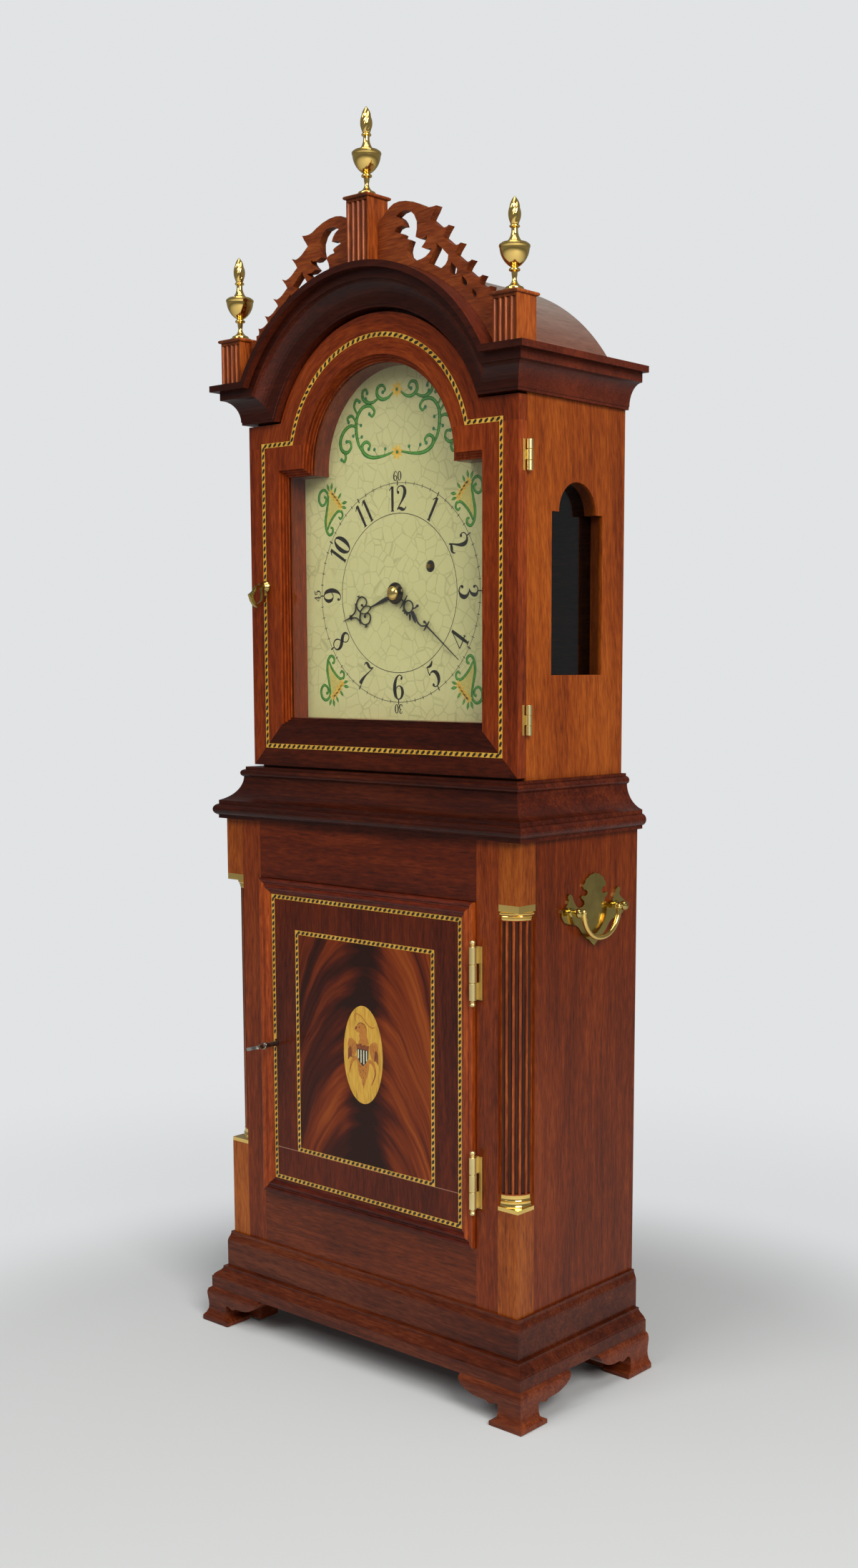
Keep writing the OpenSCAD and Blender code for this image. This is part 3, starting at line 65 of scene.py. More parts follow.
def at(x, y, z):
    """A place in millimetres, measured from the front of the lower case, in the frame."""
    return Vector((x / 1000, (y - BACK) / 1000, z / 1000))


def front_of(node):
    """Where the front of a node lies, in millimetres behind the front of the lower case."""
    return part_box(node)[0].y * 1000 + BACK


def circle(n):
    """Even angles round a circle."""
    return [2 * math.pi * i / n for i in range(n)]


def polar(radius, turn):
    """A place on the dial, at a radius from its middle and an angle from twelve o'clock."""
    return radius * math.sin(turn), HUB_Z + radius * math.cos(turn)


# ---- node helpers
mats = {}


def srgb(text):
    """Linear colour from its six-digit code."""
    parts = [int(text[i:i + 2], 16) / 255 for i in (1, 3, 5)]
    return tuple(c / 12.92 if c <= 0.04045 else ((c + 0.055) / 1.055) ** 2.4 for c in parts) + (1.0,)


def colours(text):
    """Linear colours from codes with spaces between them."""
    return [srgb(code) for code in text.split()]


def sign(op, swap=False):
    """What a sign between two values does: it adds the node that works it out."""
    return lambda a, b=None: a.graph.math(op, b, a) if swap else a.graph.math(op, a, b)


class Value:
    """What a node puts out."""

    __add__, __sub__, __mul__ = sign("ADD"), sign("SUBTRACT"), sign("MULTIPLY")
    __lt__, __gt__, __abs__ = sign("LESS_THAN"), sign("GREATER_THAN"), sign("ABSOLUTE")
    __rsub__ = sign("SUBTRACT", True)

    def __init__(self, graph, socket):
        self.graph, self.socket = graph, socket


class Graph:
    """A material, and short words for its nodes."""

    def __init__(self, name):
        mats[name] = self.mat = bpy.data.materials.new(name)
        self.mat.use_nodes = True
        self.tree = self.mat.node_tree
        self.tree.nodes.clear()
        self.out = self.node("ShaderNodeOutputMaterial")
        self.bsdf = self.node("ShaderNodeBsdfPrincipled")
        self.put(self.out.inputs[0], self.bsdf.outputs[0])
        self.vec = self.node("ShaderNodeTexCoord").outputs["Object"]

    def node(self, kind, **props):
        n = self.tree.nodes.new(kind)
        for k, v in props.items():
            setattr(n, k, v)
        return n

    def put(self, socket, value):
        if isinstance(value, Value):
            value = value.socket
        if isinstance(value, bpy.types.NodeSocket):
            self.tree.links.new(value, socket)
        elif value is not None:
            socket.default_value = value

    def feed(self, n, *values, out=0, **named):
        """Feeds a node's first inputs and those with a name, and gives one of its outputs."""
        for socket, value in zip(n.inputs, values):
            self.put(socket, value)
        for k, v in named.items():
            self.put(n.inputs[k.replace("_", " ")], v)
        return Value(self, n.outputs[out])

    def math(self, op, a, b=None):
        return self.feed(self.node("ShaderNodeMath", operation=op), a, b)

    def hypot(self, x, y):
        return self.math("SQRT", x * x + y * y)

    def mix(self, fac, a, b):
        n = self.node("ShaderNodeMix", data_type="RGBA")
        for i, value in ((0, fac), (6, a), (7, b)):
            self.put(n.inputs[i], value)
        return Value(self, n.outputs[2])

    def ramp(self, fac, *stops, ease=False):
        n = self.node("ShaderNodeValToRGB")
        n.color_ramp.interpolation = "EASE" if ease else "LINEAR"
        marks = n.color_ramp.elements
        while len(marks) < len(stops):
            marks.new(0.5)
        for mark, (position, level) in zip(marks, stops):
            mark.position = position
            mark.color = level if isinstance(level, tuple) else (level, level, level, 1)
        return self.feed(n, fac)

    def place(self, vec, shift=(0, 0, 0), scale=(1, 1, 1)):
        return self.feed(self.node("ShaderNodeMapping"), vec, shift, None, scale)

    def noise(self, vec, scale, detail=2.0, rough=0.5, distortion=0.0, out=0):
        """Cloudy noise; scale is one number, or one for each direction."""
        if isinstance(scale, tuple):
            vec, scale = self.place(vec, scale=scale), 1.0
        return self.feed(self.node("ShaderNodeTexNoise"), out=out, Vector=vec, Scale=scale,
                         Detail=detail, Roughness=rough, Distortion=distortion)

    def nudge(self, vec, by, amount):
        """vec + by * amount, in each direction."""
        return self.feed(self.node("ShaderNodeVectorMath", operation="MULTIPLY_ADD"), by, amount, vec)

    def split(self, vec):
        n = self.node("ShaderNodeSeparateXYZ")
        self.put(n.inputs[0], vec)
        return [Value(self, socket) for socket in n.outputs]

    def join(self, x, y, z):
        return self.feed(self.node("ShaderNodeCombineXYZ"), x, y, z)

    def bump(self, height, strength, distance):
        return self.feed(self.node("ShaderNodeBump"), Strength=strength, Distance=distance, Height=height)

    def finish(self, colour, rough, metal=0.0, normal=None, **more):
        self.feed(self.bsdf, Base_Color=colour, Roughness=rough, Metallic=metal, Normal=normal, **more)

    def over(self, fac, kind, colour):
        """Lays a plain shader over the surface, as far as fac says."""
        top = self.feed(self.node(kind), colour)
        self.put(self.out.inputs[0],
                 self.feed(self.node("ShaderNodeMixShader"), fac, self.bsdf.outputs[0], top))


# ---- wood
def facing(g, way):
    """How far a surface faces sideways (x) or up (z), from 0 to 1: the mask for painted light and shade.
    """
    nx, _, nz = g.split(g.node("ShaderNodeNewGeometry").outputs["Normal"])
    if way == "x":
        return g.ramp(abs(nx), (0.25, 0.0), (0.8, 1.0))
    return g.ramp(nz, (0.6, 0.0), (0.97, 1.0))


def grain(g, vec, tones, seed, faces=None):
    """Colour and relief of straight-grained wood whose grain runs along Z of vec.

    With faces, a way to face and two strengths, the tones get the first strength on surfaces that face the
    front, and the second that way. That is painted light and shade: one wood made lighter or darker by
    which way a surface faces.
    """
    tones = [(red * 1.07, green * 0.88, blue * 0.6) for red, green, blue, _ in colours(tones)]
    moved = g.place(vec, (seed * 0.37, seed * 0.73, seed * 0.19))
    bent = g.nudge(moved, g.noise(moved, (9, 9, 2.2), out=1), (0.03, 0.03, 0.0))
    broad = g.noise(bent, (24, 24, 5))
    streak = g.noise(bent, (190, 190, 11), 4.0, 0.62)
    fleck = g.noise(bent, (620, 620, 95), 2.0, 0.55)
    fine = g.noise(bent, (1000, 1000, 60))
    level = streak * 0.34 + broad * 0.34 + fleck * 0.32

    def tinted(strength):
        strength = strength if isinstance(strength, tuple) else (strength,) * 3
        return g.ramp(level, *((stop, tuple(c * s for c, s in zip(tone, strength)) + (1.0,))
                               for stop, tone in zip((0.36, 0.5, 0.64), tones)))

    way, front, painted_side_strength = faces or (None, 1.0, 1.0)
    colour = tinted(front)
    # painted light and shade: surfaces that face the given way take the second strength
    if way:
        colour = g.mix(facing(g, way), colour, tinted(painted_side_strength))
    pores = g.ramp(fine, (0.32, 1.0), (0.42, 0.0))
    colour = g.mix(pores * 0.45, colour, tuple(c * 0.35 for c in tones[0]) + (1.0,))
    return colour, streak * 0.4 - pores * 0.6


def along(g, axis):
    """Coordinates whose Z runs along an axis of the object, for the grain."""
    if axis == "z":
        return g.vec
    x, y, z = g.split(g.vec)
    return g.join(z, y, x) if axis == "x" else g.join(x, z, y)


def lacquer(g, colour, relief, rough=0.3, coat=0.12, strength=0.12):
    g.finish(colour, (g.noise(g.vec, 14) - 0.5) * 0.16 + rough, 0.0, g.bump(relief, strength, 0.0003),
             Coat_Weight=coat, Coat_Roughness=0.12, Specular_IOR_Level=0.15)


def wood(name, tones, axis, seed, rough=0.3, coat=0.12, faces=None):
    g = Graph(name)
    lacquer(g, *grain(g, along(g, axis), tones, seed, faces), rough, coat)


def column_wood():
    """Fluted quarter column: light ridges, and painted shade that darkens the flutes."""
    g = Graph("mahogany_column")
    low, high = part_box("column_right")
    x, y, _ = g.split(g.vec)
    deep = (high.x - low.x - g.hypot(abs(x) - low.x, y - high.y)) * (1000 / FLUTE)
    # painted shade: darker towards the bottom of each flute
    flute = g.ramp(deep, (0.05, 0.0), (0.75, 0.85))
    colour, relief = grain(g, g.vec, "#552310 #86421F #AE6535", 24)
    lacquer(g, g.mix(flute, colour, srgb("#1C0A06")), relief, 0.3, 0.2)


def hood_side_wood():
    """Amber side of the hood; the reveal of its window lies in shade."""
    g = Graph("mahogany_hood_side")
    x, _, z = g.split(g.vec)
    tilted = g.nudge(g.vec, g.join(z, z, z), (0.0, 0.07, 0.0))
    colour, relief = grain(g, tilted, "#6A2D10 #914918 #AE6226", 15)
    deep = (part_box("hood_side_right")[1].x - abs(x)) * (1000 / REVEAL)
    shade = g.ramp(deep, (0.05, 0.0), (0.9, 0.72))
    lacquer(g, g.mix(shade, colour, srgb("#120A07")), relief, 0.32, 0.2)


def hood_door_wood():
    """Frame of the hood door: uprights, a foot rail mitred to them and an arch whose grain bends."""
    g = Graph("mahogany_hood_door")
    x, y, z = g.split(g.vec)
    height = z - ARCH_Z / 1000
    bent = g.join(g.hypot(x, height), y, g.math("ARCTAN2", x, height) * 0.1)
    # painted light: the sideways faces of the uprights and of the arch are made lighter
    faces = ("x", 1.0, (1.5, 1.8, 2.4))
    up = grain(g, g.vec, "#4A1C0B #702D10 #8C421A", 71, faces)
    across = grain(g, along(g, "x"), "#240A05 #3C1509 #52200F", 73)
    arch = grain(g, bent, "#481B0B #6E2D11 #8A421B", 75, faces)
    low = (z - HOOD_FOOT / 1000 < HOOD_HALF / 1000 - abs(x)) * (z < 0.56)
    high = z > ARCH_Z / 1000 + 0.02
    colour, relief = (g.mix(high, g.mix(low, u, a), r) for u, a, r in zip(up, across, arch))
    lacquer(g, colour, relief, 0.28, 0.15)


def lower_door_wood():
    """One door: moulded lip, banded border and a figured panel in the middle."""
    g = Graph("mahogany_lower_door")
    x, _, z = g.split(g.vec)
    z = z - DOOR_MID / 1000
    ax, az = abs(x), abs(z)
    up, up_relief = grain(g, g.vec, "#5E2410 #8A3F1B #AA5828", 50)
    across, _ = grain(g, along(g, "x"), "#2E0F0A #4C1B11 #67291A", 53)
    band, band_relief = grain(g, g.vec, "#330F06 #4E1D0A #68290F", 57)
    lip = g.mix(DOOR_HALF[0] / 1000 - ax > DOOR_HALF[1] / 1000 - az, up, across)
    # the figure of the panel arches and falls away on both sides of a dark middle
    middle = x + (g.noise(g.vec, (11, 11, 8), 3.0, 0.55) - 0.5) * 0.03
    part = g.math("MINIMUM", abs(middle) * 11.6, 0.985)
    lines = z + (1.0 - g.math("SQRT", 1.0 - part * part)) * 0.2
    bands = g.noise(g.join(x * 6.0, 0.0, lines * 34.0), 1.0, 3.0, 0.55, 0.6)
    hairs = g.noise(g.join(x * 30.0, 3.0, lines * 210.0), 1.0, 3.0, 0.6)
    dark = g.math("POWER", 2.718, middle * middle * -3600.0)
    tone = (bands - 0.5) * 1.9 + 0.5 + (hairs - 0.5) * 0.5 - dark * 0.55 + x * 2.6
    panel = g.ramp(tone, *zip((0.05, 0.34, 0.6, 0.94), colours("#260B03 #461404 #742C08 #9A4A16")))
    field, inner = ((ax < w / 1000) * (az < h / 1000) for w, h in (OUTER, INNER))
    # thin pale joint at the foot of the side borders
    joint = (abs(z + INNER[1] / 1000) < 0.0003) * field * (1.0 - inner)
    colour = g.mix(joint * 0.6, g.mix(field, lip, band), srgb("#B98A72"))
    lacquer(g, g.mix(inner, colour, panel), g.mix(field, up_relief, band_relief), 0.26, 0.1)


wood("mahogany_upright", "#4A1D0C #6F3013 #8C451F", "z", 1)
wood("mahogany_upright_b", "#3E190D #63290F #7F3B1A", "z", 7)
wood("mahogany_across", "#35120A #54200F #6E2F17", "x", 3)
wood("mahogany_rail", "#3B180D #5C2812 #76391E", "x", 9)
wood("mahogany_case_side", "#4A1D08 #6A2C0E #854018", "z", 12)
wood("mahogany_block", "#5C2810 #87461B #A56128", "z", 18)
# The faces given to crown, foot, moulding, base and plinth paint light and shade: their fronts darker and,
# except on the base, their sides lighter than the wood's own tones.
wood("mahogany_crown", "#2A0F0A #36150E #441C12", "x", 21, faces=("x", 0.8, 2.6))
wood("mahogany_foot", "#431C11 #66301C #83472C", "x", 27, 0.34, faces=("x", 0.8, 1.15))
wood("mahogany_moulding", "#2C0F08 #481A0C #642C15", "x", 29, faces=("x", 0.52, 1.15))
wood("mahogany_base", "#33130A #512313 #6C3822", "x", 30, faces=("x", 0.95, 1.0))
wood("mahogany_fret", "#44200F #6D3418 #8B4C26", "x", 31, 0.42)
wood("mahogany_plinth", "#552610 #7C3E1B #9C592B", "z", 33, 0.34, 0.2, ("x", 0.55, 1.6))
# painted light: the roof's upward faces are lighter and bluer, a painted sheen, and its other faces darker
# and redder
wood("roof_board", "#776B70 #877C82 #968C94", "y", 36, 0.4, 0.1,
     ("z", (0.75, 0.48, 0.42), (1.1, 1.32, 1.45)))
wood("inside_board", "#3A2417 #543522 #6E4A31", "z", 39, 0.7, 0.0)
wood("back_board", "#4A2E1C #664428 #80593A", "x", 42, 0.6, 0.0)
column_wood()
hood_side_wood()
hood_door_wood()
lower_door_wood()


# ---- metal, glass and paint
def brass(name, tones, rough, tarnish, scale=60.0):
    g = Graph(name)
    cloud = g.noise(g.vec, scale, 3.0, 0.6)
    colour = g.mix(g.ramp(cloud, (0.42, 0.0), (0.72, 1.0)) * tarnish, *colours(tones))
    scratch = g.noise(g.vec, (2200, 2200, 260))
    g.finish(colour, cloud * 0.14 + (rough - 0.05), 1.0, g.bump(scratch, 0.04, 0.0001))


def mottled(name, tones, cloud, rough, uneven, metal, relief):
    """Paint or metal that wavers between two tones, and in roughness too if it is uneven."""
    g = Graph(name)
    cloud = g.noise(g.vec, *cloud)
    g.finish(g.mix(cloud, *colours(tones)), cloud * uneven + rough if uneven else rough, metal,
             g.bump(cloud, *relief))


def dial_enamel():
    """Cream paint with a faint network of cracks."""
    g = Graph("dial_enamel")
    moved = g.nudge(g.vec, g.noise(g.vec, 60, out=1), (0.006, 0.0, 0.006))
    cells = g.feed(g.node("ShaderNodeTexVoronoi", feature="DISTANCE_TO_EDGE"),
                   Vector=g.place(moved, scale=(1, 0, 1)), Scale=95.0)
    crack = g.ramp(cells, (0.0, 1.0), (0.05, 0.0))
    shown = g.ramp(g.noise(g.place(g.vec, (4, 0, 2), (22, 22, 22)), 1.0), (0.36, 0.15), (0.56, 1.0))
    colour = g.mix(g.noise(g.vec, 11, 3.0), *colours("#B6AE78 #C5BD89"))
    g.finish(g.mix(crack * shown * 0.42, colour, srgb("#7F7A4C")), 0.36, 0.0,
             g.bump(crack, 0.05, 0.0001), Specular_IOR_Level=0.3)


def glass(name, tint):
    g = Graph(name)
    g.finish(tint, 0.02, 0.0, g.bump(g.noise(g.vec, 7, 1.0), 0.02, 0.001),
             Transmission_Weight=1.0, IOR=1.45)
    return g


def ink(name, tones):
    """Brushed paint or stained veneer, slightly uneven in tone."""
    g = Graph(name)
    cloud = g.noise(g.vec, 420, 2.0, 0.6)
    colour = g.mix(g.ramp(cloud, (0.3, 0.0), (0.7, 1.0)), *colours(tones))
    g.finish(colour, 0.4, 0.0, g.bump(cloud, 0.05, 0.0001))


brass("brass_polished", "#F8D27A #D0AC54", 0.09, 0.3, 30.0)
brass("brass_satin", "#F2DC9C #B8A05E", 0.34, 0.3, 30.0)
brass("brass_aged", "#BFA860 #6A6030", 0.14, 0.5, 40.0)
brass("brass_works", "#C6A050 #7A6430", 0.26, 0.4)
# painted reflection: the collet's flange metal is made near black for the dark surroundings it reflects
brass("collet_dark_reflection", "#3A3120 #15120C", 0.14, 0.5)
mottled("steel_key", "#6E6860 #C9C5BC", (120, 3.0), 0.12, 0.2, 1.0, (0.1, 0.0002))
mottled("iron_weight", "#232325 #4A4A4C", (260, 4.0, 0.6), 0.62, 0, 0.3, (0.4, 0.0006))
mottled("hand_black", "#0B0A0A #1B1713", (700,), 0.32, 0.15, 0.0, (0.08, 0.0001))
dial_enamel()
pane = glass("pane_glass", (0.96, 0.98, 0.97, 1))
pane.over(pane.node("ShaderNodeLightPath").outputs["Is Shadow Ray"],
          "ShaderNodeBsdfTransparent", (0.93, 0.95, 0.94, 1))
# painted shade: the side panes are tinted dark for the unlit inside of the hood
glass("side_pane_glass", (0.34, 0.36, 0.36, 1))
cream = Graph("inlay_cream")
lacquer(cream, *grain(cream, cream.vec, "#AC8838 #C9A748 #DBBC62", 61), 0.28, 0.4, 0.05)
for name, tones in (
        ("inlay_black", "#150E0A #2A1A10"), ("dial_figure", "#0C0A07 #1C170F"),
        ("dial_ring_ink", "#2E2B20 #454130"), ("veneer_ivory", "#D8CFA6 #E6DFBC"),
        ("veneer_brown", "#6E3010 #8E4C1C"), ("veneer_tan", "#AE6A20 #C07E2E"),
        ("paint_green", "#3C7E22 #639A34"), ("paint_green_dark", "#175620 #2C7626"),
        ("paint_teal", "#1E5F33 #377A45"), ("paint_yellow", "#CC9C28 #DBB244"),
        ("paint_orange", "#C58A33 #D9A04A"), ("paint_straw", "#B0A152 #BDAE62")):
    ink(name, tones)

NODES_OF = {
    "mahogany_foot": "foot_front_left foot_front_right foot_rear_left foot_rear_right",
    "mahogany_base": "base_moulding base_band",
    "mahogany_case_side": "case_side_left case_side_right",
    "mahogany_upright": "stile_left stile_right",
    "mahogany_upright_b": "hood_mask",
    "mahogany_across": "rail_top",
    "mahogany_rail": "rail_foot",
    "mahogany_block": "corner_blocks_left corner_blocks_right",
    "mahogany_column": "column_left column_right",
    "mahogany_moulding": "waist_moulding",
    "mahogany_hood_side": "hood_side_left hood_side_right",
    "mahogany_crown": "crown_moulding",
    "mahogany_plinth": "plinth_middle plinth_left plinth_right",
    "mahogany_fret": "fret_left fret_right",
    "mahogany_lower_door": "lower_door",
    "mahogany_hood_door": "hood_door",
    "roof_board": "roof",
    "inside_board": "floor_board",
    "back_board": "case_back hood_back",
    "inlay_cream": "lower_door_inlay hood_door_inlay",
    "dial_enamel": "dial",
    "pane_glass": "hood_pane",
    "side_pane_glass": "side_panes",
    "brass_polished": "column_brasses finial_middle finial_left finial_right bail_left bail_right "
                      "case_hinges lower_door_hinges hood_door_hinges",
    "brass_aged": "handle_left handle_right hood_key",
    "brass_works": "movement_frame centre_wheel great_wheel third_wheel escape_wheel pendulum",
    "steel_key": "lower_key anchor",
    "iron_weight": "weight",
    "hand_black": "minute_hand hour_hand",
}


def coat(mesh, material, angle):
    """Gives a mesh its material, and smooth shading that breaks at edges above an angle."""
    for i in range(len(mesh.materials)):
        mesh.materials[i] = mats[material]
    if not mesh.materials:
        mesh.materials.append(mats[material])
    mesh.polygons.foreach_set("use_smooth", [True] * len(mesh.polygons))
    mesh.set_sharp_from_angle(angle=math.radians(angle))


for material, names in NODES_OF.items():
    for name in names.split():
        coat(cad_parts[name].data, material, 32)


# ---- drawn pieces
def piece(name, mesh, body, slot, *replaced):
    """Sets a mesh up as a piece of the clock."""
    o = bpy.data.objects.new(name, mesh)
    bpy.context.scene.collection.objects.link(o)
    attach(o, body)
    if replaced:
        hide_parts(*replaced)


def flow(points, steps=10):
    """A smooth line through points, whose further values, such as a width, follow along."""
    out = []
    for i in range(len(points) - 1):
        four = points[max(i - 1, 0)], points[i], points[i + 1], points[min(i + 2, len(points) - 1)]
        for k in range(steps):
            t = k / steps
            out.append(tuple(0.5 * (2 * b + (c - a) * t + (2 * a - 5 * b + 4 * c - d) * t * t
                                    + (3 * b - a - 3 * c + d) * t ** 3)
                             for a, b, c, d in zip(*four)))
    out.append(tuple(points[-1]))
    return out


def sides(pts):
    """Each point of a line, and the unit vector across the line there."""
    for i, p in enumerate(pts):
        a, b = pts[max(i - 1, 0)], pts[min(i + 1, len(pts) - 1)]
        size = math.hypot(b[0] - a[0], b[1] - a[1]) or 1.0
        yield p, -(b[1] - a[1]) / size, (b[0] - a[0]) / size


class Sheet:
    """Flat painted or let-in shapes in a plane that faces the front, drawn in millimetres."""

    def __init__(self, name, material, body, slot, plane):
        self.name, self.material, self.body, self.slot = name, material, body, slot
        self.plane = plane - 0.05
        self.verts, self.faces = [], []

    def poly(self, pts, lift=0.0):
        area = sum(a[0] * b[1] - b[0] * a[1] for a, b in zip(pts, pts[1:] + pts[:1]))
        n = len(self.verts)
        self.verts += [at(x, self.plane - lift, z) for x, z in (pts[::-1] if area < 0 else pts)]
        self.faces.append(list(range(n, n + len(pts))))

    def line(self, pts, lift=0.0, steps=10, grow=1.0, more=0.0):
        n = len(self.verts)
        for (x, z, wide), nx, nz in sides(flow(pts, steps)):
            half = max(0.02, wide * grow + more) / 2
            self.verts += [at(x + nx * off, self.plane - lift, z + nz * off) for off in (half, -half)]
        self.faces += [[k + 1, k + 3, k + 2, k] for k in range(n, len(self.verts) - 2, 2)]

    def dot(self, x, z, r, lift=0.0, rz=None, turn=0.0, n=20):
        c, s = math.cos(turn), math.sin(turn)
        rim = [(r * math.cos(a), (rz or r) * math.sin(a)) for a in circle(n)]
        self.poly([(x + u * c - v * s, z + u * s + v * c) for u, v in rim], lift)

    def make(self):
        mesh = bpy.data.meshes.new(self.name)
        mesh.from_pydata([tuple(v) for v in self.verts], [], self.faces)
        mesh.materials.append(mats[self.material])
        piece(self.name, mesh, self.body, self.slot)


# Figures of a height of 1000, each with its width, its strokes as (across, up, width of the line)
# and its balls as (across, up, radius)
OVAL = [(270 + 215 * math.cos(a), 500 + 475 * math.sin(a), 28 + 125 * abs(math.cos(a)) ** 1.6)
        for a in [math.pi / 2 + 2 * math.pi * i / 16 for i in range(17)]]
SIX = [[(440, 840, 50), (455, 900, 30), (380, 975, 28), (280, 985, 30), (140, 860, 85), (55, 620, 140),
        (45, 380, 155), (100, 140, 120), (200, 25, 45), (280, 10, 30), (400, 70, 70), (480, 260, 125),
        (440, 450, 100), (330, 545, 35), (220, 530, 28), (120, 430, 24), (80, 300, 20)]]
FIGURES = {
    "0": (540, [OVAL], []),
    "1": (320, [
        [(20, 830, 20), (100, 900, 35), (170, 985, 50)],
        [(200, 990, 100), (200, 750, 105), (200, 250, 105), (200, 30, 80)],
        [(110, 12, 24), (290, 12, 24)]], []),
    "2": (540, [
        [(90, 720, 50), (45, 800, 30), (90, 930, 30), (240, 985, 35), (400, 930, 90), (470, 770, 145),
         (430, 600, 130), (320, 420, 75), (180, 240, 45), (50, 60, 35)],
        [(50, 50, 30), (130, 115, 70), (240, 90, 115), (360, 45, 100), (460, 60, 50),
         (530, 160, 22)]], [(100, 735, 58)]),
    "3": (500, [
        [(80, 800, 45), (50, 870, 30), (130, 965, 30), (260, 985, 45), (380, 910, 110), (400, 790, 130),
         (340, 650, 90), (220, 565, 35), (160, 550, 28)],
        [(160, 550, 28), (260, 540, 35), (400, 460, 90), (475, 300, 150), (420, 130, 130),
         (280, 20, 50), (150, 20, 30), (50, 100, 30), (45, 190, 40)]], [(85, 800, 52), (80, 185, 56)]),
    "4": (570, [
        [(400, 990, 20), (270, 750, 22), (20, 305, 22)],
        [(0, 290, 30), (250, 285, 35), (570, 300, 30)],
        [(410, 990, 100), (410, 600, 115), (410, 300, 115), (410, 30, 80)],
        [(310, 12, 24), (510, 12, 24)],
        [(570, 240, 22), (570, 370, 22)]], []),
    "5": (500, [
        [(120, 930, 30), (100, 750, 26), (85, 560, 24)],
        [(120, 930, 30), (220, 885, 70), (340, 890, 100), (440, 960, 60), (480, 1020, 20)],
        [(85, 560, 26), (200, 630, 35), (340, 610, 80), (455, 480, 140), (475, 300, 155),
         (400, 120, 110), (260, 15, 40), (130, 30, 30), (50, 120, 40)]], [(85, 135, 56)]),
    "6": (520, SIX, [(420, 855, 52)]),
    "7": (540, [
        [(30, 800, 20), (55, 930, 50), (150, 955, 100), (280, 900, 110), (400, 880, 60),
         (530, 985, 20)],
        [(530, 985, 20), (430, 740, 30), (310, 480, 60), (230, 240, 120), (200, 20, 155)]], []),
    "8": (500, [
        [(430, 840, 30), (360, 955, 30), (240, 985, 30), (110, 920, 60), (70, 800, 100),
         (130, 660, 140), (270, 530, 155), (410, 380, 140), (455, 220, 90), (400, 70, 40),
         (250, 10, 30), (100, 60, 35), (35, 210, 45), (80, 360, 40), (210, 490, 28), (360, 620, 26),
         (435, 740, 28), (430, 840, 30)]], []),
    "9": (520, [[(520 - x, 1000 - y, w) for x, y, w in line] for line in SIX], [(100, 145, 52)]),
}
FIGURE_GAP = 100


def number(sheet, text, clock, radius, tall, outward=True, thin=1.0, fat=0.0):
    """Figures round the dial: their tops point out, or to the middle."""
    a = math.radians(clock * 30)
    up = (math.sin(a), math.cos(a)) if outward else (-math.sin(a), -math.cos(a))
    cx, cz = polar(radius, a)
    unit = tall / 1000
    start = -(sum(FIGURES[c][0] for c in text) + FIGURE_GAP * (len(text) - 1)) / 2

    def spot(x, y):
        u, v = (start + x) * unit, (y - 500) * unit
        return cx + up[1] * u + up[0] * v, cz - up[0] * u + up[1] * v

    for c in text:
        wide, lines, balls = FIGURES[c]
        for line in lines:
            sheet.line([(*spot(x, y), t * unit * thin + fat) for x, y, t in line], steps=8)
        for x, y, r in balls:
            sheet.dot(*spot(x, y), r * unit * (1.1 if thin > 1 else 0.75))
        start += wide + FIGURE_GAP


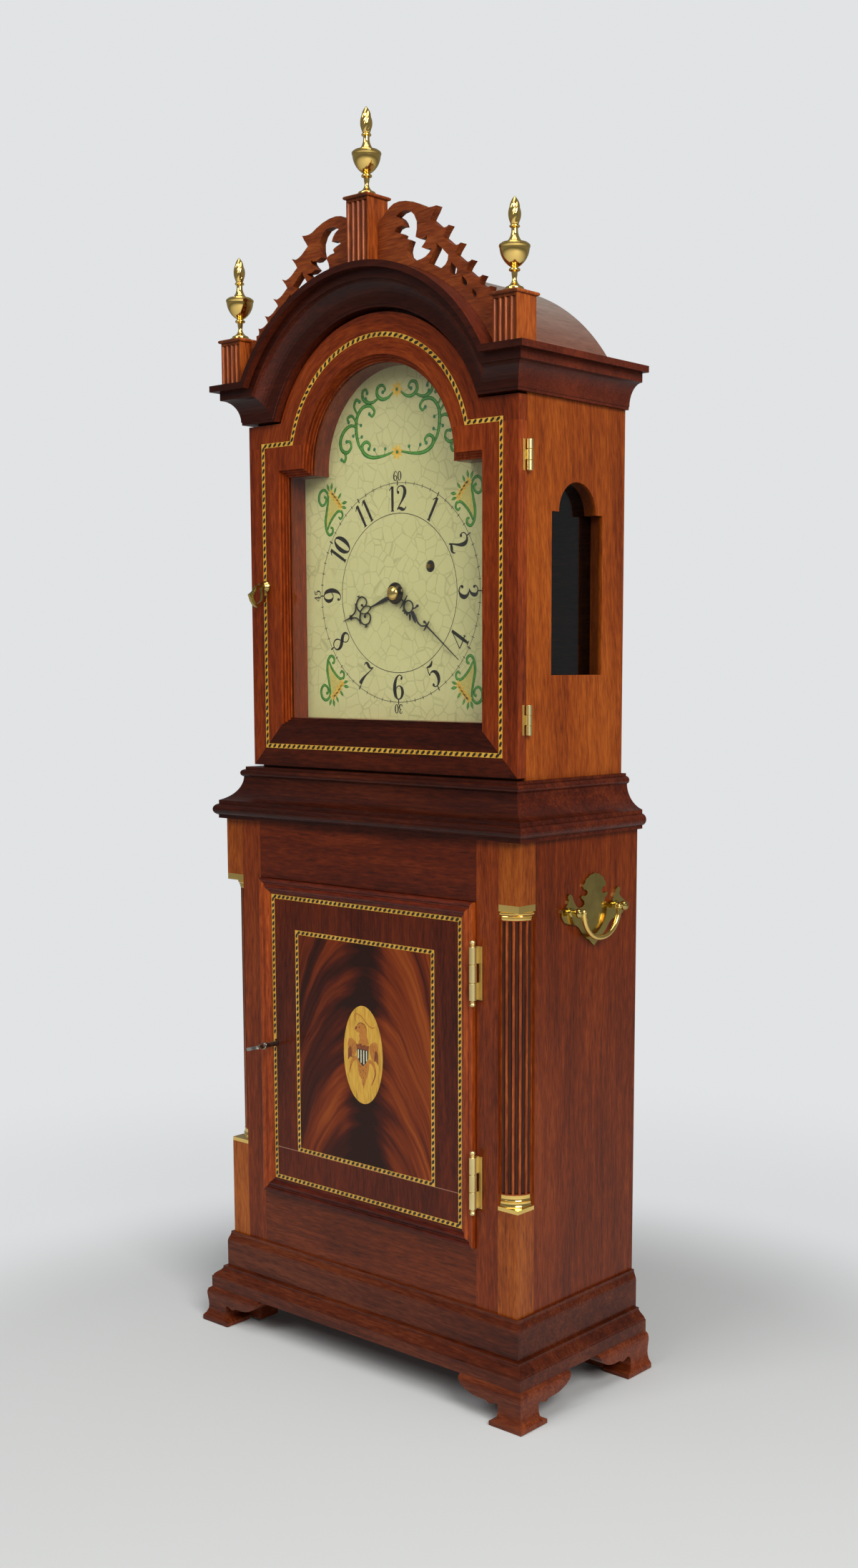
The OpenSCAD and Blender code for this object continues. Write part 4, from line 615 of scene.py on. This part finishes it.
def dial_painting():
    face = front_of("dial")
    figures = Sheet("dial_figures", "dial_figure", "case", "hand_black", face)
    for hour in range(1, 13):
        number(figures, str(hour), hour, 72, 19, not 4 <= hour <= 8, 1.12, 0.26)
    for mark, hour in (("60", 0), ("15", 3), ("30", 6), ("45", 9)):
        number(figures, mark, hour, 88.9, 7, True, 0.8, 0.4)
    figures.make()

    rings = Sheet("dial_rings", "dial_ring_ink", "case", "hand_black", face)
    for r, w in ((MINUTE_RING, 0.46), (HOUR_RING, 0.56)):
        turns = circle(240)
        for a, b in zip(turns, turns[1:] + turns[:1]):
            rings.poly([polar(r - w / 2, a), polar(r + w / 2, a),
                        polar(r + w / 2, b), polar(r - w / 2, b)])
    for minute, a in enumerate(circle(60)):
        reach, w = (1.4, 0.6) if minute % 5 else (1.9, 1.15)
        rings.line([(*polar(MINUTE_RING - reach, a), w), (*polar(MINUTE_RING + reach, a), w)], 0.01, 2)
    rings.make()

    dark, light, teal, gold, horn, rust = (
        Sheet("dial_" + name, "paint_" + tone, "case", "dial_paint", face) for name, tone in (
            ("scrolls_shade", "green_dark"), ("scrolls", "green"), ("buds", "teal"),
            ("flowers", "yellow"), ("horns", "straw"), ("flower_shade", "orange")))

    def stroke(pts):
        dark.line(pts, 0.02, 8, 1.3, 0.35)
        light.line([(x + 0.14, z + 0.14, w) for x, z, w in pts], 0.04, 8, 0.55)

    def flower(z, spin, r=5.6):
        for a in circle(8):
            a += spin
            gold.dot(r * 0.62 * math.cos(a), z + r * 0.62 * math.sin(a), r * 0.44, 0.03, r * 0.2, a)
        rust.dot(0, z, r * 0.36, 0.045)
        dark.dot(0, z, r * 0.24, 0.06)

    def horn_at(fx, fz):
        """The horn, its outlines and what it spills, drawn for the upper left."""
        body = [(-75, 79), (-71, 76.5), (-66, 71), (-62.5, 66.6), (-64.6, 65.6), (-69, 62.4),
                (-73.4, 57.6), (-76.4, 52.5), (-78, 57), (-77, 66), (-75.6, 74)]
        horn.poly([(x * fx, HUB_Z + z * fz) for x, z in body], 0)
        for line in ([(-80.2, 78, 1.5), (-77.8, 76.6, 1.3), (-78.6, 72.8, 1.3),
                (-82.6, 71.2, 1.4), (-85.8, 75.2, 1.6), (-84.8, 80.8, 1.6), (-80.4, 83.2, 1.5),
                (-76.4, 80.6, 1.5), (-75.6, 75.5, 1.4), (-77, 67.5, 1.5), (-78.6, 59, 1.7),
                (-77.6, 51.4, 1.6), (-74.4, 47.8, 1.5), (-70.9, 49.4, 1.5), (-70.8, 52.8, 1.3),
                (-73.2, 53.4, 1)], [(-76.6, 52, 1), (-73.4, 57.6, 1.4), (-69, 62.4, 1.4),
                (-64.6, 65.6, 1.4), (-60.6, 65.2, 1.4), (-59.6, 61.8, 1.3), (-62, 59.9, 1.2),
                (-64, 61.6, 0.9)]):
            stroke([(x * fx, HUB_Z + z * fz, w) for x, z, w in line])
        for x, z in ((-72.2, 80.2), (-69.4, 77.8), (-66.8, 75.2), (-64.2, 72.4), (-61.8, 69.4)):
            for k in range(5):
                a = 0.9 + k * 1.26
                gold.dot((x + 1.7 * math.cos(a)) * fx, HUB_Z + (z + 1.7 * math.sin(a)) * fz, 1.6, 0.03,
                         0.85, a * fx * fz)
            rust.dot(x * fx, HUB_Z + z * fz, 0.65, 0.045)
        for x0, z0, x1, z1, w in ((-74.2, 81.6, -76.6, 87.8, 2.6), (-72.2, 82.2, -70.8, 88.6, 2.6),
                (-60.6, 71.6, -54.2, 72.6, 2.6), (-60.8, 69.2, -55, 67.6, 2.4),
                (-64.6, 75.2, -60.6, 80, 2.2), (-68.8, 79.6, -66.2, 85, 2.2)):
            leaf = [(x * fx, HUB_Z + z * fz, wide) for x, z, wide in (
                (x0, z0, 0.2), ((x0 + x1) / 2, (z0 + z1) / 2, w), (x1, z1, 0.1))]
            dark.line(leaf, 0.03, 8)
            light.line(leaf, 0.05, 8, 0.45)
        rng = random.Random(5)
        for _ in range(16):
            t, u = rng.random(), rng.random() - 0.5
            x, z = -76.6 + t * 7.5 + u * 3, 57 + t * 16 - u * 3
            rust.dot(x * fx, HUB_Z + z * fz, 0.34, 0.02, n=8)

    for fx in (1, -1):
        for fz in (1, -1):
            horn_at(fx, fz)
        # half of the wreath in the arch
        for line in ([(4, 719.3, 0.9), (16, 716.9, 1.5), (27, 716.8, 2), (35.4, 720.6, 2.3),
                (37.2, 726.4, 2.1), (32.8, 729, 1.7), (28.8, 726.4, 1.4), (30.2, 723.4, 1.2)],
                [(36.6, 721.2, 1.2), (41.4, 728.7, 1.9), (43.6, 738.5, 2.2), (42.6, 748.2, 2.2),
                (36.6, 755, 2), (28.4, 755.8, 1.8), (23.8, 751.4, 1.5), (26.2, 747.8, 1.3),
                (29.2, 749.8, 1.2)], [(4, 763.8, 0.9), (9.4, 760.2, 1.5), (15.8, 759.6, 2),
                (20.8, 763.4, 2.2), (19.8, 768.8, 1.9), (15, 770, 1.5), (12.2, 766.8, 1.3),
                (14.8, 764.8, 1.2)], [(19.4, 760.8, 1.1), (25.4, 758.2, 1.6), (31.4, 758.6, 1.9),
                (36, 762, 2), (36.2, 767.2, 1.6), (32.6, 768.4, 1.3), (31.4, 765.6, 1.2)],
                [(43.4, 741, 1.2), (49.4, 742.6, 1.7), (56.6, 739.2, 2.1), (61, 732, 2.3),
                (59.6, 725, 2.2), (54, 722.4, 1.9), (49.4, 725.8, 1.6), (50.4, 730.4, 1.4),
                (54.2, 730.8, 1.3)], [(58.4, 724, 1.1), (55.2, 719.8, 1.6), (56.8, 715.8, 1.6),
                (60, 717.4, 1.2)], [(43.6, 744.6, 1), (48, 749.8, 1.5), (52.8, 748.6, 1.6),
                (51.8, 745.4, 1.3)], [(42, 750.4, 1), (45.6, 756.8, 1.5), (43.2, 761.6, 1.7),
                (39.8, 760, 1.3)]):
            stroke([(x * fx, z, w) for x, z, w in line])
            teal.dot(line[-1][0] * fx, line[-1][1], 1.5, 0.06)
        for x, z, px, pz in ((24, 722.6, 21, 717.6), (12.4, 722.2, 13.6, 718),
                (46.8, 734.6, 43.6, 737.6), (33, 761.6, 29, 758.8), (38.4, 742, 42.8, 744),
                (37.6, 733.2, 42.4, 731.6)):
            dark.line([(px * fx, pz, 0.5), (x * fx, z, 0.5)], 0.03, 2)
            teal.dot(x * fx, z, 1.4, 0.06)
    flower(719, 0.2)
    flower(765.6, 0)
    for sheet in (horn, gold, rust, dark, light, teal):
        sheet.make()


LEVEL_SLANT, UPRIGHT_SLANT = 0.62, -0.3844  # how the ovals lean on level and upright lines


def rope(sheet, pts, pitch, keyhole):
    """Slanted dark ovals at an even pitch along a line of the stringing, but not on the keyhole."""
    spans, total = [], 0.0
    for a, b in zip(pts, pts[1:]):
        spans.append((total, a, b, math.dist(a, b)))
        total += spans[-1][3]
    count = max(1, round(total / pitch))
    step = total / count
    k = 0
    for i in range(count):
        s = (i + 0.5) * step
        while k < len(spans) - 1 and s > spans[k][0] + spans[k][3]:
            k += 1
        before, a, b, size = spans[k]
        t = (s - before) / size
        x, z = a[0] + (b[0] - a[0]) * t, a[1] + (b[1] - a[1]) * t
        if math.hypot(x - keyhole[0], z - keyhole[1]) < keyhole[2]:
            continue
        angle = math.atan2(b[1] - a[1], b[0] - a[0])
        slant = LEVEL_SLANT if math.cos(angle) ** 2 > 0.5 else UPRIGHT_SLANT
        sheet.dot(x, z, step * 0.4, 0, 1.1, angle + slant, 14)


def stringing():
    low = Sheet("lower_rope", "inlay_black", "lower_door", "inlay", front_of("lower_door_inlay"))
    for w, h in (OUTER, INNER):
        w, foot, top = w - STRING / 2, DOOR_MID - h + STRING / 2, DOOR_MID + h - STRING / 2
        for line in ([(-w, top), (w, top)], [(-w, foot), (w, foot)],
                     [(-w, foot), (-w, top)], [(w, foot), (w, top)]):
            rope(low, line, 4.95, (-98.5, DOOR_MID - 4.5, 5.2))
    low.make()

    high = Sheet("hood_rope", "inlay_black", "hood_door", "inlay", front_of("hood_door_inlay"))
    inset = 14.2 + STRING / 2
    half, foot, top, r = HOOD_HALF - inset, HOOD_FOOT + inset, HOOD_TOP - inset, HOOD_ARCH - inset
    span = math.acos((top - ARCH_Z) / r)
    arc = [(r * math.sin(t), ARCH_Z + r * math.cos(t)) for t in (span * (i / 24 - 1) for i in range(49))]
    for line in ([(-half, foot), (half, foot)], [(-half, foot), (-half, top)], [(half, foot), (half, top)],
                 [(-half, top), arc[0]], [arc[-1], (half, top)], arc):
        rope(high, line, 5.6, (-122.5, HUB_Z + 7.6, 4.6))
    high.make()


def patera():
    """A bird with a striped shield on its breast, let into the oval."""
    front = front_of("lower_door_inlay")
    tan, brown, black, pale = (
        Sheet("patera_" + name, material, "lower_door", "inlay", front) for name, material in (
            ("bird", "veneer_tan"), ("shade", "veneer_brown"), ("shield", "inlay_black"),
            ("stripes", "veneer_ivory")))

    def lay(sheet, pts, lift=0):
        sheet.poly([(x, DOOR_MID + z) for x, z in pts], lift)

    def band(sheet, pts, lift=0):
        sheet.line([(x, DOOR_MID + z, w) for x, z, w in pts], lift, 8)

    lay(tan, [(-5.6, 7.6), (-3.4, 12.5), (-4.4, 15.4), (-3.2, 17.2), (-6, 17.8), (-8.8, 19.4),
            (-8.4, 21.2), (-6.4, 22.8), (-4.2, 24.6), (-0.4, 24.9), (2.6, 23.2), (4.4, 19.6),
            (4, 16.6), (5.2, 13.2), (6.4, 10.4), (5.9, 7.6)], 0.01)
    lay(brown, [(-9, 19.2), (-8, 21.8), (-6.4, 22.6), (-6.2, 20.4)], 0.02)
    brown.dot(-3.7, DOOR_MID + 21.6, 0.7, 0.03)
    band(brown, [(-6.6, 23.2, 0.3), (-2.4, 25.4, 0.7), (2.2, 24, 0.6), (4.6, 20, 0.2)], 0.025)
    for s in (1, -1):
        lay(tan, [(6.4 * s, 7.4), (9.0 * s, 10.4), (12.6 * s, 12.2), (15.6 * s, 11.2), (16.6 * s, 7),
                (16.4 * s, 1), (16.8 * s, -6.4), (13.8 * s, -3), (11.0 * s, -3.8), (8.6 * s, -0.6),
                (7.0 * s, 3.2)], 0)
        lay(brown, [(12.6 * s, 4.6), (14.6 * s, 5.4), (16.3 * s, 2.4), (16.6 * s, -6),
                (13.9 * s, -3), (12.0 * s, -3.4)], 0.01)
        for k in range(3):
            band(brown, [((8.4 + 2.3 * k) * s, 9.4 - k * 0.4, 0.18),
                    ((8.8 + 2.5 * k) * s, 4.6 - k, 0.3),
                    ((8.6 + 2.6 * k) * s, 0.4 - k * 0.9, 0.15)], 0.015)
    band(tan, [(-4.6, -5, 2.4), (-8.6, -3.4, 3.2), (-12, -6.6, 2.4), (-14, -11, 1.5),
            (-14.8, -15.6, 0.6)])
    band(tan, [(4.4, -5.4, 2.4), (8.8, -4.2, 3.2), (12.2, -7.8, 2.4), (13.2, -13, 1.6),
            (11.4, -18.6, 1.2), (8.8, -23, 0.5)])
    band(brown, [(-12.4, -8.6, 0.3), (-14.2, -12.6, 0.7), (-14.6, -16.6, 0.2)], 0.02)
    band(brown, [(12.9, -10, 0.3), (12.8, -15, 0.8), (9, -22.8, 0.3)], 0.02)
    lay(tan, [(-6.4, -3.6), (-2.2, -6.8), (0, -8.8), (2.6, -6.6), (6.6, -4.6), (6.2, -11), (4.6, -16.8),
            (2.8, -20), (0.4, -27.4), (-1.4, -20.2), (-4.4, -16.6), (-6, -11)], 0.005)
    for x, z in ((-3.4, -9.6), (3.2, -9.2), (-2.6, -14.2), (2.4, -14), (0.2, -12.2), (0.2, -18.2),
            (0.3, -23)):
        brown.dot(x, DOOR_MID + z, 0.42, 0.02, 0.8, 0.3)
    lay(black, [(-6.8, 4.6), (6, 4.6), (5.6, -2.6), (3, -6.2), (-0.2, -9), (-3.6, -6.4),
            (-6.2, -2.4)], 0.02)
    for x, top, foot in ((-5.1, 3.9, -3.4), (-2.2, 3.9, -6.6), (0.8, 3.9, -7.4), (3.8, 3.9, -4.6)):
        lay(pale, [(x - 0.62, top), (x + 0.62, top), (x + 0.62, foot + 0.3), (x - 0.62, foot)], 0.035)
    lay(brown, [(-7.6, 8.4), (-5.2, 7.6), (-2.8, 8.9), (-0.4, 7.5), (2, 8.7), (4.4, 7.5), (6.6, 8.4),
            (6.1, 4.4), (-6.9, 4.4)], 0.03)
    band(tan, [(-4.6, 24.6, 0.4), (-8, 26.8, 0.7), (-9.4, 30.2, 0.9), (-6.6, 32.2, 0.9),
            (-2, 30.8, 1), (2.4, 27.2, 1.1), (7, 23.8, 1), (11.4, 23, 0.8),
            (13.4, 24.4, 0.3)])
    for sheet in (tan, brown, black, pale):
        sheet.make()


# ---- solid drawn pieces
def skin(bm, rows, ring=False):
    """Faces from row to row of points, with closed ends or as a ring; a row may be a single point."""
    n = max(len(row) for row in rows)
    for row, after in zip(rows, rows[1:] + (rows[:1] if ring else [])):
        for i in range(n):
            j = (i + 1) % n
            corners = (row[i % len(row)], row[j % len(row)], after[j % len(after)], after[i % len(after)])
            corners = list(dict.fromkeys(corners))
            if len(corners) > 2:
                bm.faces.new(corners)
    for row in () if ring else (rows[0], rows[-1]):
        if len(row) > 1:
            bm.faces.new(row)


def solid(bm, name, material, body, slot, angle, *replaced):
    """Makes a piece of what was built."""
    bmesh.ops.recalc_face_normals(bm, faces=bm.faces)
    mesh = bpy.data.meshes.new(name)
    bm.to_mesh(mesh)
    bm.free()
    coat(mesh, material, angle)
    piece(name, mesh, body, slot, *replaced)


class Strap:
    """A hand cut from thin metal to a flowing outline, with softened front edges."""

    thick = 0.8

    def __init__(self, front, clock_degrees, grow=1):
        self.front, self.grow = front, grow
        a = math.radians(clock_degrees)
        self.along = (math.sin(a), math.cos(a))
        self.across = (-self.along[1], self.along[0]) if a < math.pi else (self.along[1], -self.along[0])
        self.bm = bmesh.new()

    def spot(self, u, v):
        """From a place along and across the hand to the dial's plane."""
        x, z = (u * d + v * n for d, n in zip(self.along, self.across))
        return self.grow * x, HUB_Z + self.grow * z

    def bar(self, pts, steps=10):
        rows = []
        for (u, v, wide), nu, nv in sides(flow(pts, steps)):
            half = max(0.06, wide / 2)
            c = min(0.22, half * 0.6)
            row = []
            for off, deep in ((-half, self.thick), (-half, c), (-half + c, 0), (half - c, 0), (half, c),
                              (half, self.thick)):
                x, z = self.spot(u + nu * off, v + nv * off)
                row.append(self.bm.verts.new(at(x, self.front + deep, z)))
            rows.append(row)
        skin(self.bm, rows)

    def stud(self, u, v, r, n=24):
        x, z = self.spot(u, v)
        skin(self.bm, [[self.bm.verts.new(at(x + q * math.cos(a), self.front + deep, z + q * math.sin(a)))
                        for a in circle(n)] for q, deep in ((r, self.thick), (r, 0.25), (r * 0.9, 0))])

    def make(self, name, body, replaced):
        solid(self.bm, name, "hand_black", body, "hand_black", 40, replaced)


def hour_hand():
    hour = Strap(front_of("dial") - 1.7, 250.7, 1.03)
    hour.stud(0, 0, 5.6)
    hour.bar([(3, 0, 1.4), (8, 0, 2), (13.4, 0, 3), (19, 0, 2.2), (25, 0, 1.2), (30, 0, 0.9)])
    for s in (1, -1):
        hour.bar([(29, 0, 0.9), (31.4, 1.7 * s, 0.8), (34.8, 2.7 * s, 0.8), (38.2, 1.9 * s, 0.8),
                (41.2, 0, 0.9)])
        hour.bar([(40.6, 0, 1), (42.6, 3.4 * s, 1), (42.6, 7.2 * s, 1), (39.2, 10.4 * s, 1),
                (34.8, 10.4 * s, 1), (32, 7.2 * s, 0.95), (32.6, 4.0 * s, 0.9),
                (35.4, 2.8 * s, 0.85), (37.6, 4.0 * s, 0.8)])
        hour.stud(37.4, 4.6 * s, 1, 14)
        hour.bar([(38.2, 10.2 * s, 0.9), (38.6, 12.4 * s, 1.1)], 4)
        hour.bar([(37.4, 12.2 * s, 0.8), (39.8, 12.2 * s, 0.8)], 4)
        hour.bar([(40.4, 0, 1), (42.4, 3.2 * s, 0.9), (43.8, 6.6 * s, 0.9), (43.6, 8.4 * s, 0.5)])
        hour.bar([(43.7, 6.4 * s, 0.9), (45.4, 3.2 * s, 0.9), (48, 1.5 * s, 0.9),
                (51.4, 1.0 * s, 1)])
    hour.bar([(50.2, 0, 2.8), (52.4, 0, 3.2)], 3)
    hour.bar([(51.8, 2, 0.9), (52.4, 0, 0.9), (51.8, -2, 0.9)], 4)
    hour.bar([(52, 0, 1.5), (55, 0, 0.9), (60.4, 0, 0.3)])
    hour.make("hour_hand_scrolled", "hour_hand", "hour_hand")


def minute_hand():
    m = Strap(front_of("dial") - 3.1, 128.4)
    m.stud(0, 0, 5.6)
    m.bar([(3, 0, 2), (8, 0, 1.2), (11, 0, 1.5), (12.6, 0, 1.4)])
    m.bar([(10.6, 6, 0.5), (10.8, 3, 1), (10.8, 0, 1.5), (10.8, -3, 1), (10.6, -6.4, 0.5)])
    m.bar([(16.9 + 4.7 * math.cos(a), 4.7 * math.sin(a), 1.1 + 0.7 * max(0, -math.sin(a)))
           for a in [math.pi + 2 * math.pi * i / 16 for i in range(17)]], 3)
    for k in range(3):
        m.stud(14.6 + 2.4 * k, -5.6 - 0.3 * (k == 1), 0.85, 12)
    m.bar([(21, 1.4, 1.2), (23, 3.4, 1), (23.6, 5.4, 1.5)])
    m.stud(23.9, 6.2, 1.15, 14)
    m.bar([(20.8, -2.6, 1), (22.6, -4.6, 1.9), (24.6, -7.4, 0.4)])
    m.bar([(21, -0.4, 1.6), (24, -1.6, 3), (27, -3.2, 2.9), (30.6, -5.2, 0.5)])
    m.bar([(23, 0.2, 1.2), (27.4, -1.4, 1.3), (32, -3.4, 1.2), (36.4, -3.2, 1.1), (39.4, -0.9, 1.2),
            (41, 0, 1.2)])
    m.bar([(40.6, -0.2, 1.1), (38.8, 1.4, 1), (37.6, 1.2, 1.2)])
    m.stud(37.3, 1.1, 1.15, 14)
    m.bar([(40.8, 4.4, 0.5), (40.8, 2, 1), (40.8, 0, 1.5), (40.8, -2, 1), (40.8, -4.6, 0.5)])
    m.bar([(40.6, 0, 1.5), (48, 0, 1.1), (64, 0, 0.8), (81.9, 0, 0.3)])
    m.make("minute_hand_scrolled", "minute_works", "minute_hand")


def turn(bm, profile, centre, n=32, front=False, ring=False, flute=None):
    """Adds a turned form: radius and height along its axis, which stands up or points to the front."""
    rows = []
    for r, h in profile:
        row = []
        for a in circle(n if r > 0 else 1):
            q = r * (flute(a, h) if flute else 1)
            x, y = q * math.cos(a), q * math.sin(a)
            step = (x, -h, y) if front else (x, y, h)
            row.append(bm.verts.new(at(*(c + s for c, s in zip(centre, step)))))
        rows.append(row)
    skin(bm, rows, ring)


def bow(a, b, sag, n):
    """Arc from a to b that stands sag away from the straight line, to the left where positive."""
    a, b = complex(*a), complex(*b)
    size = abs(b - a)
    r = (size ** 2 / 4 + sag ** 2) / (2 * sag)
    left = 1j * (b - a) / size
    middle = (a + b) / 2 + left * (sag - r)
    half = 2 * math.atan2(2 * sag, size)
    arc = [middle + left * cmath.rect(r, half * (1 - 2 * i / n)) for i in range(n + 1)]
    return [(p.real, p.imag) for p in arc]


def plate(bm, lo, hi, soft=0.2):
    """Adds a leaf between two corners, its edges softened."""
    new = bmesh.ops.create_cube(bm, size=1.0)["verts"]
    a, b = at(*lo), at(*hi)
    for v in new:
        v.co = [a[k] + (v.co[k] + 0.5) * (b[k] - a[k]) for k in range(3)]
    edges = list({e for v in new for e in v.link_edges})
    bmesh.ops.bevel(bm, geom=edges, offset=soft / 1000, segments=2, affect="EDGES")


def hinges():
    """Barrels and leaves: slim, with ball tips at the lower door, as they look from the front."""
    def knuckle(r, z0, z1, bore=None):
        outer = [(r - 0.3, z0), (r, z0 + 0.3), (r, z1 - 0.3), (r - 0.3, z1)]
        return [(bore, z0), *outer, (bore, z1)] if bore else outer

    tip = [(1.5, 0), (1.5, 0.7), (2.0, 1.1), (2.0, 1.5), (1.5, 1.8), (2.0, 2.4), (2.3, 3.2), (2.1, 4.0),
           (1.4, 4.6), (0.5, 4.9)]
    case, door, hood = bmesh.new(), bmesh.new(), bmesh.new()
    for z in (175.33, 333.67):
        c = (117.3, -5.6, z)
        for z0, z1 in ((-20, -6.87), (6.87, 20)):
            turn(case, knuckle(2.8, z0, z1), c)
            plate(case, (116.3, -4.4, z + z0 + 0.3), (118.5, -0.8, z + z1 - 0.3))
            plate(case, (116.3, -1.3, z + z0), (122.4, 0.0, z + z1))
        plate(case, (119.4, -1.3, z - 7.2), (122.4, 0.0, z + 7.2))
        turn(case, [(1.4, -7), (1.4, 7)], c)
        turn(case, tip, (c[0], c[1], z + 20))
        turn(case, [(r, -h) for r, h in tip], (c[0], c[1], z - 20))
        turn(door, knuckle(2.8, -6.67, 6.67, 1.55), c, ring=True)
    for z in (517.8, 705.0):
        c = (142.7, 27.15, z)
        for z0, z1 in ((-11, -3.87), (3.87, 11)):
            turn(case, knuckle(2.3, z0, z1), c)
            plate(case, (140.05, 27.4, z + z0), (141.0, 30.6, z + z1))
        turn(case, [(1.15, -4), (1.15, 4)], c)
        turn(hood, knuckle(2.3, -3.67, 3.67, 1.3), c, ring=True)
        plate(hood, (139.9, 22.4, z - 11), (140.7, 24.6, z + 11))
        plate(hood, (139.9, 24.2, z - 3.6), (140.9, 26.6, z + 3.6))
    for bm, name, body, node in ((case, "case_hinge_halves", "case", "case_hinges"),
                                 (door, "lower_hinge_knuckles", "lower_door", "lower_door_hinges"),
                                 (hood, "hood_hinge_halves", "hood_door", "hood_door_hinges")):
        solid(bm, name, "brass_satin", body, "brass", 38, node)


def finials():
    lower = [(0, 0), (8.4, 0), (8.7, 0.5), (8.4, 1.2), (7, 1.7),
             *bow((6.6, 1.9), (5.6, 3.5), -0.4, 4), *bow((5.1, 3.7), (1.95, 10.8), 1.5, 9),
             (2.2, 13.4), *bow((3.1, 13.8), (3.1, 15.8), -0.9, 6),
             (2.2, 16.2), *bow((2.6, 16.6), (10.5, 29.4), -1.9, 14),
             (10.9, 29.9), (10.95, 31), (10.4, 31.7), (9.3, 32.1), (9.1, 32.6), (6.6, 33),
             *bow((5.4, 33.4), (2.4, 42.6), 1.1, 8), *bow((2.9, 42.9), (2.9, 44.5), -0.8, 6), (2.5, 44.8)]
    flame = bow((2.7, 45), (4.5, 52.2), -0.45, 12) + bow((4.5, 52.2), (0, 63.8), -1.3, 26)[1:]
    flame[-1] = (0, 63.8)

    def twist(a, h):
        if h < 45.4 or h > 63.2:
            return 1.0
        depth = min(1.0, (h - 45.4) / 3.0, (63.2 - h) / 3.5)
        wave = 0.5 + 0.5 * math.cos(4 * (a - (h - 45) * 0.13))
        return 1.0 - depth * 0.17 * (1 - wave) ** 1.5

    for part in ("middle", "left", "right"):
        low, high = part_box("finial_" + part)
        bm = bmesh.new()
        turn(bm, lower + flame, ((low.x + high.x) * 500, (low.y + high.y) * 500 + BACK, low.z * 1000), 72,
             flute=twist)
        solid(bm, "flame_finial_" + part, "brass_polished", "case", "brass", 38, "finial_" + part)


def dial_fittings():
    """A black ring of painted shade inside the winding hole, and the collet and dome in the middle of the
    hands.
    """
    face = front_of("dial")
    dome = [(5.3 * math.cos(t), 2.9 + 3.2 * math.sin(t)) for t in [i * math.pi / 20 for i in range(1, 10)]]
    for name, material, body, slot, profile, centre, n in (
            # a black ring just behind the dial's face: painted shade inside the winding hole
            ("winding_hole_shade", "hand_black", "case", "hand_black",
             [(2.5, 0), (4.4, 0), (4.4, 0.5), (2.5, 0.5)], (33.6, face + 1.4, HUB_Z + 19.6), 32),
            ("hand_collet", "collet_dark_reflection", "minute_works", "brass",
             [(0, 0), (8.3, 0), (8.4, 0.5), (8.0, 1.1), (7.0, 2.0), (5.8, 2.9), (0, 2.9)],
             (0, face - 3.1, HUB_Z), 48),
            ("hand_dome", "brass_polished", "minute_works", "brass",
             [(0, 2.4), (5.3, 2.6), *dome, (0, 6.1)], (0, face - 3.1, HUB_Z), 48)):
        bm = bmesh.new()
        turn(bm, profile, centre, n, front=True)
        solid(bm, name, material, body, slot, 38)


dial_painting()
stringing()
patera()
hour_hand()
minute_hand()
finials()
hinges()
dial_fittings()


# ---- camera
cam_data = bpy.data.cameras.new("camera")
cam = bpy.data.objects.new("camera", cam_data)
bpy.context.scene.collection.objects.link(cam)
cam.location = (0.9297, -0.9499 - BACK / 1000, 0.5591)
cam.rotation_euler = (math.radians(90 - 7.77), 0, math.radians(40.638))
cam_data.sensor_width = 36
cam_data.lens = 39.70
cam_data.shift_x = -0.0292
cam_data.shift_y = 0.0731
bpy.context.scene.camera = cam

# ---- studio
PALE = srgb("#E1E3E5")


def studio():
    """A pale floor that fades into an even pale surrounding, and three soft lamps."""
    ring, radii, floor_z = 96, (0.6, 1.5, 4.0, 9.0), -0.0005
    verts, faces = [(0.0, 0.0, floor_z)], []
    for r in radii:
        verts += [(r * math.cos(a), r * math.sin(a), floor_z) for a in circle(ring)]
    for i in range(ring):
        j = (i + 1) % ring
        faces.append((0, 1 + i, 1 + j))
        for k in range(len(radii) - 1):
            p, q = 1 + k * ring, 1 + (k + 1) * ring
            faces.append((p + i, q + i, q + j, p + j))
    mesh = bpy.data.meshes.new("floor")
    mesh.from_pydata(verts, [], faces)
    o = bpy.data.objects.new("floor", mesh)
    bpy.context.scene.collection.objects.link(o)
    g = Graph("floor_paper")
    x, y, _ = g.split(g.vec)
    g.finish(g.mix(g.noise(g.vec, 1.2) * 0.12, *colours("#D6D8D7 #CCCFD0")), 0.9, Specular_IOR_Level=0.08)
    fade = g.ramp(g.hypot(x - 0.09, y + 0.10) * 0.5, (0.18, 0.0), (0.30, 0.8), (0.55, 1.0), ease=True)
    g.over(fade * g.node("ShaderNodeLightPath").outputs["Is Camera Ray"], "ShaderNodeEmission", PALE)
    mesh.materials.append(g.mat)

    for name, where, aim_z, size, power, tint in (
            ("key", (1.95, -1.0, 1.7), 0.5, 1.1, 44, (1.0, 0.985, 0.96)),
            ("fill", (-0.45, -2.3, 2.35), 0.45, 1.3, 26, (0.98, 0.99, 1.0)),
            ("top", (0.3, -0.5, 2.7), 0.4, 1.6, 20, (1, 1, 1))):
        data = bpy.data.lights.new(name, "AREA")
        data.size = size
        data.energy = power
        data.color = tint
        lamp = bpy.data.objects.new(name, data)
        lamp.location = where
        lamp.rotation_euler = (Vector((0, 0, aim_z)) - Vector(where)).to_track_quat("-Z", "Y").to_euler()
        bpy.context.scene.collection.objects.link(lamp)
    world = bpy.data.worlds.new("studio")
    world.use_nodes = True
    tree = world.node_tree
    path = tree.nodes.new("ShaderNodeLightPath")
    pick = tree.nodes.new("ShaderNodeMix")
    pick.data_type = "RGBA"
    pick.inputs[6].default_value = (0.19, 0.193, 0.197, 1)  # the light of the room
    pick.inputs[7].default_value = PALE  # what the camera sees of it
    tree.links.new(path.outputs["Is Camera Ray"], pick.inputs[0])
    tree.links.new(pick.outputs[2], tree.nodes["Background"].inputs[0])
    bpy.context.scene.world = world


studio()
bpy.context.scene.view_settings.view_transform = "Standard"
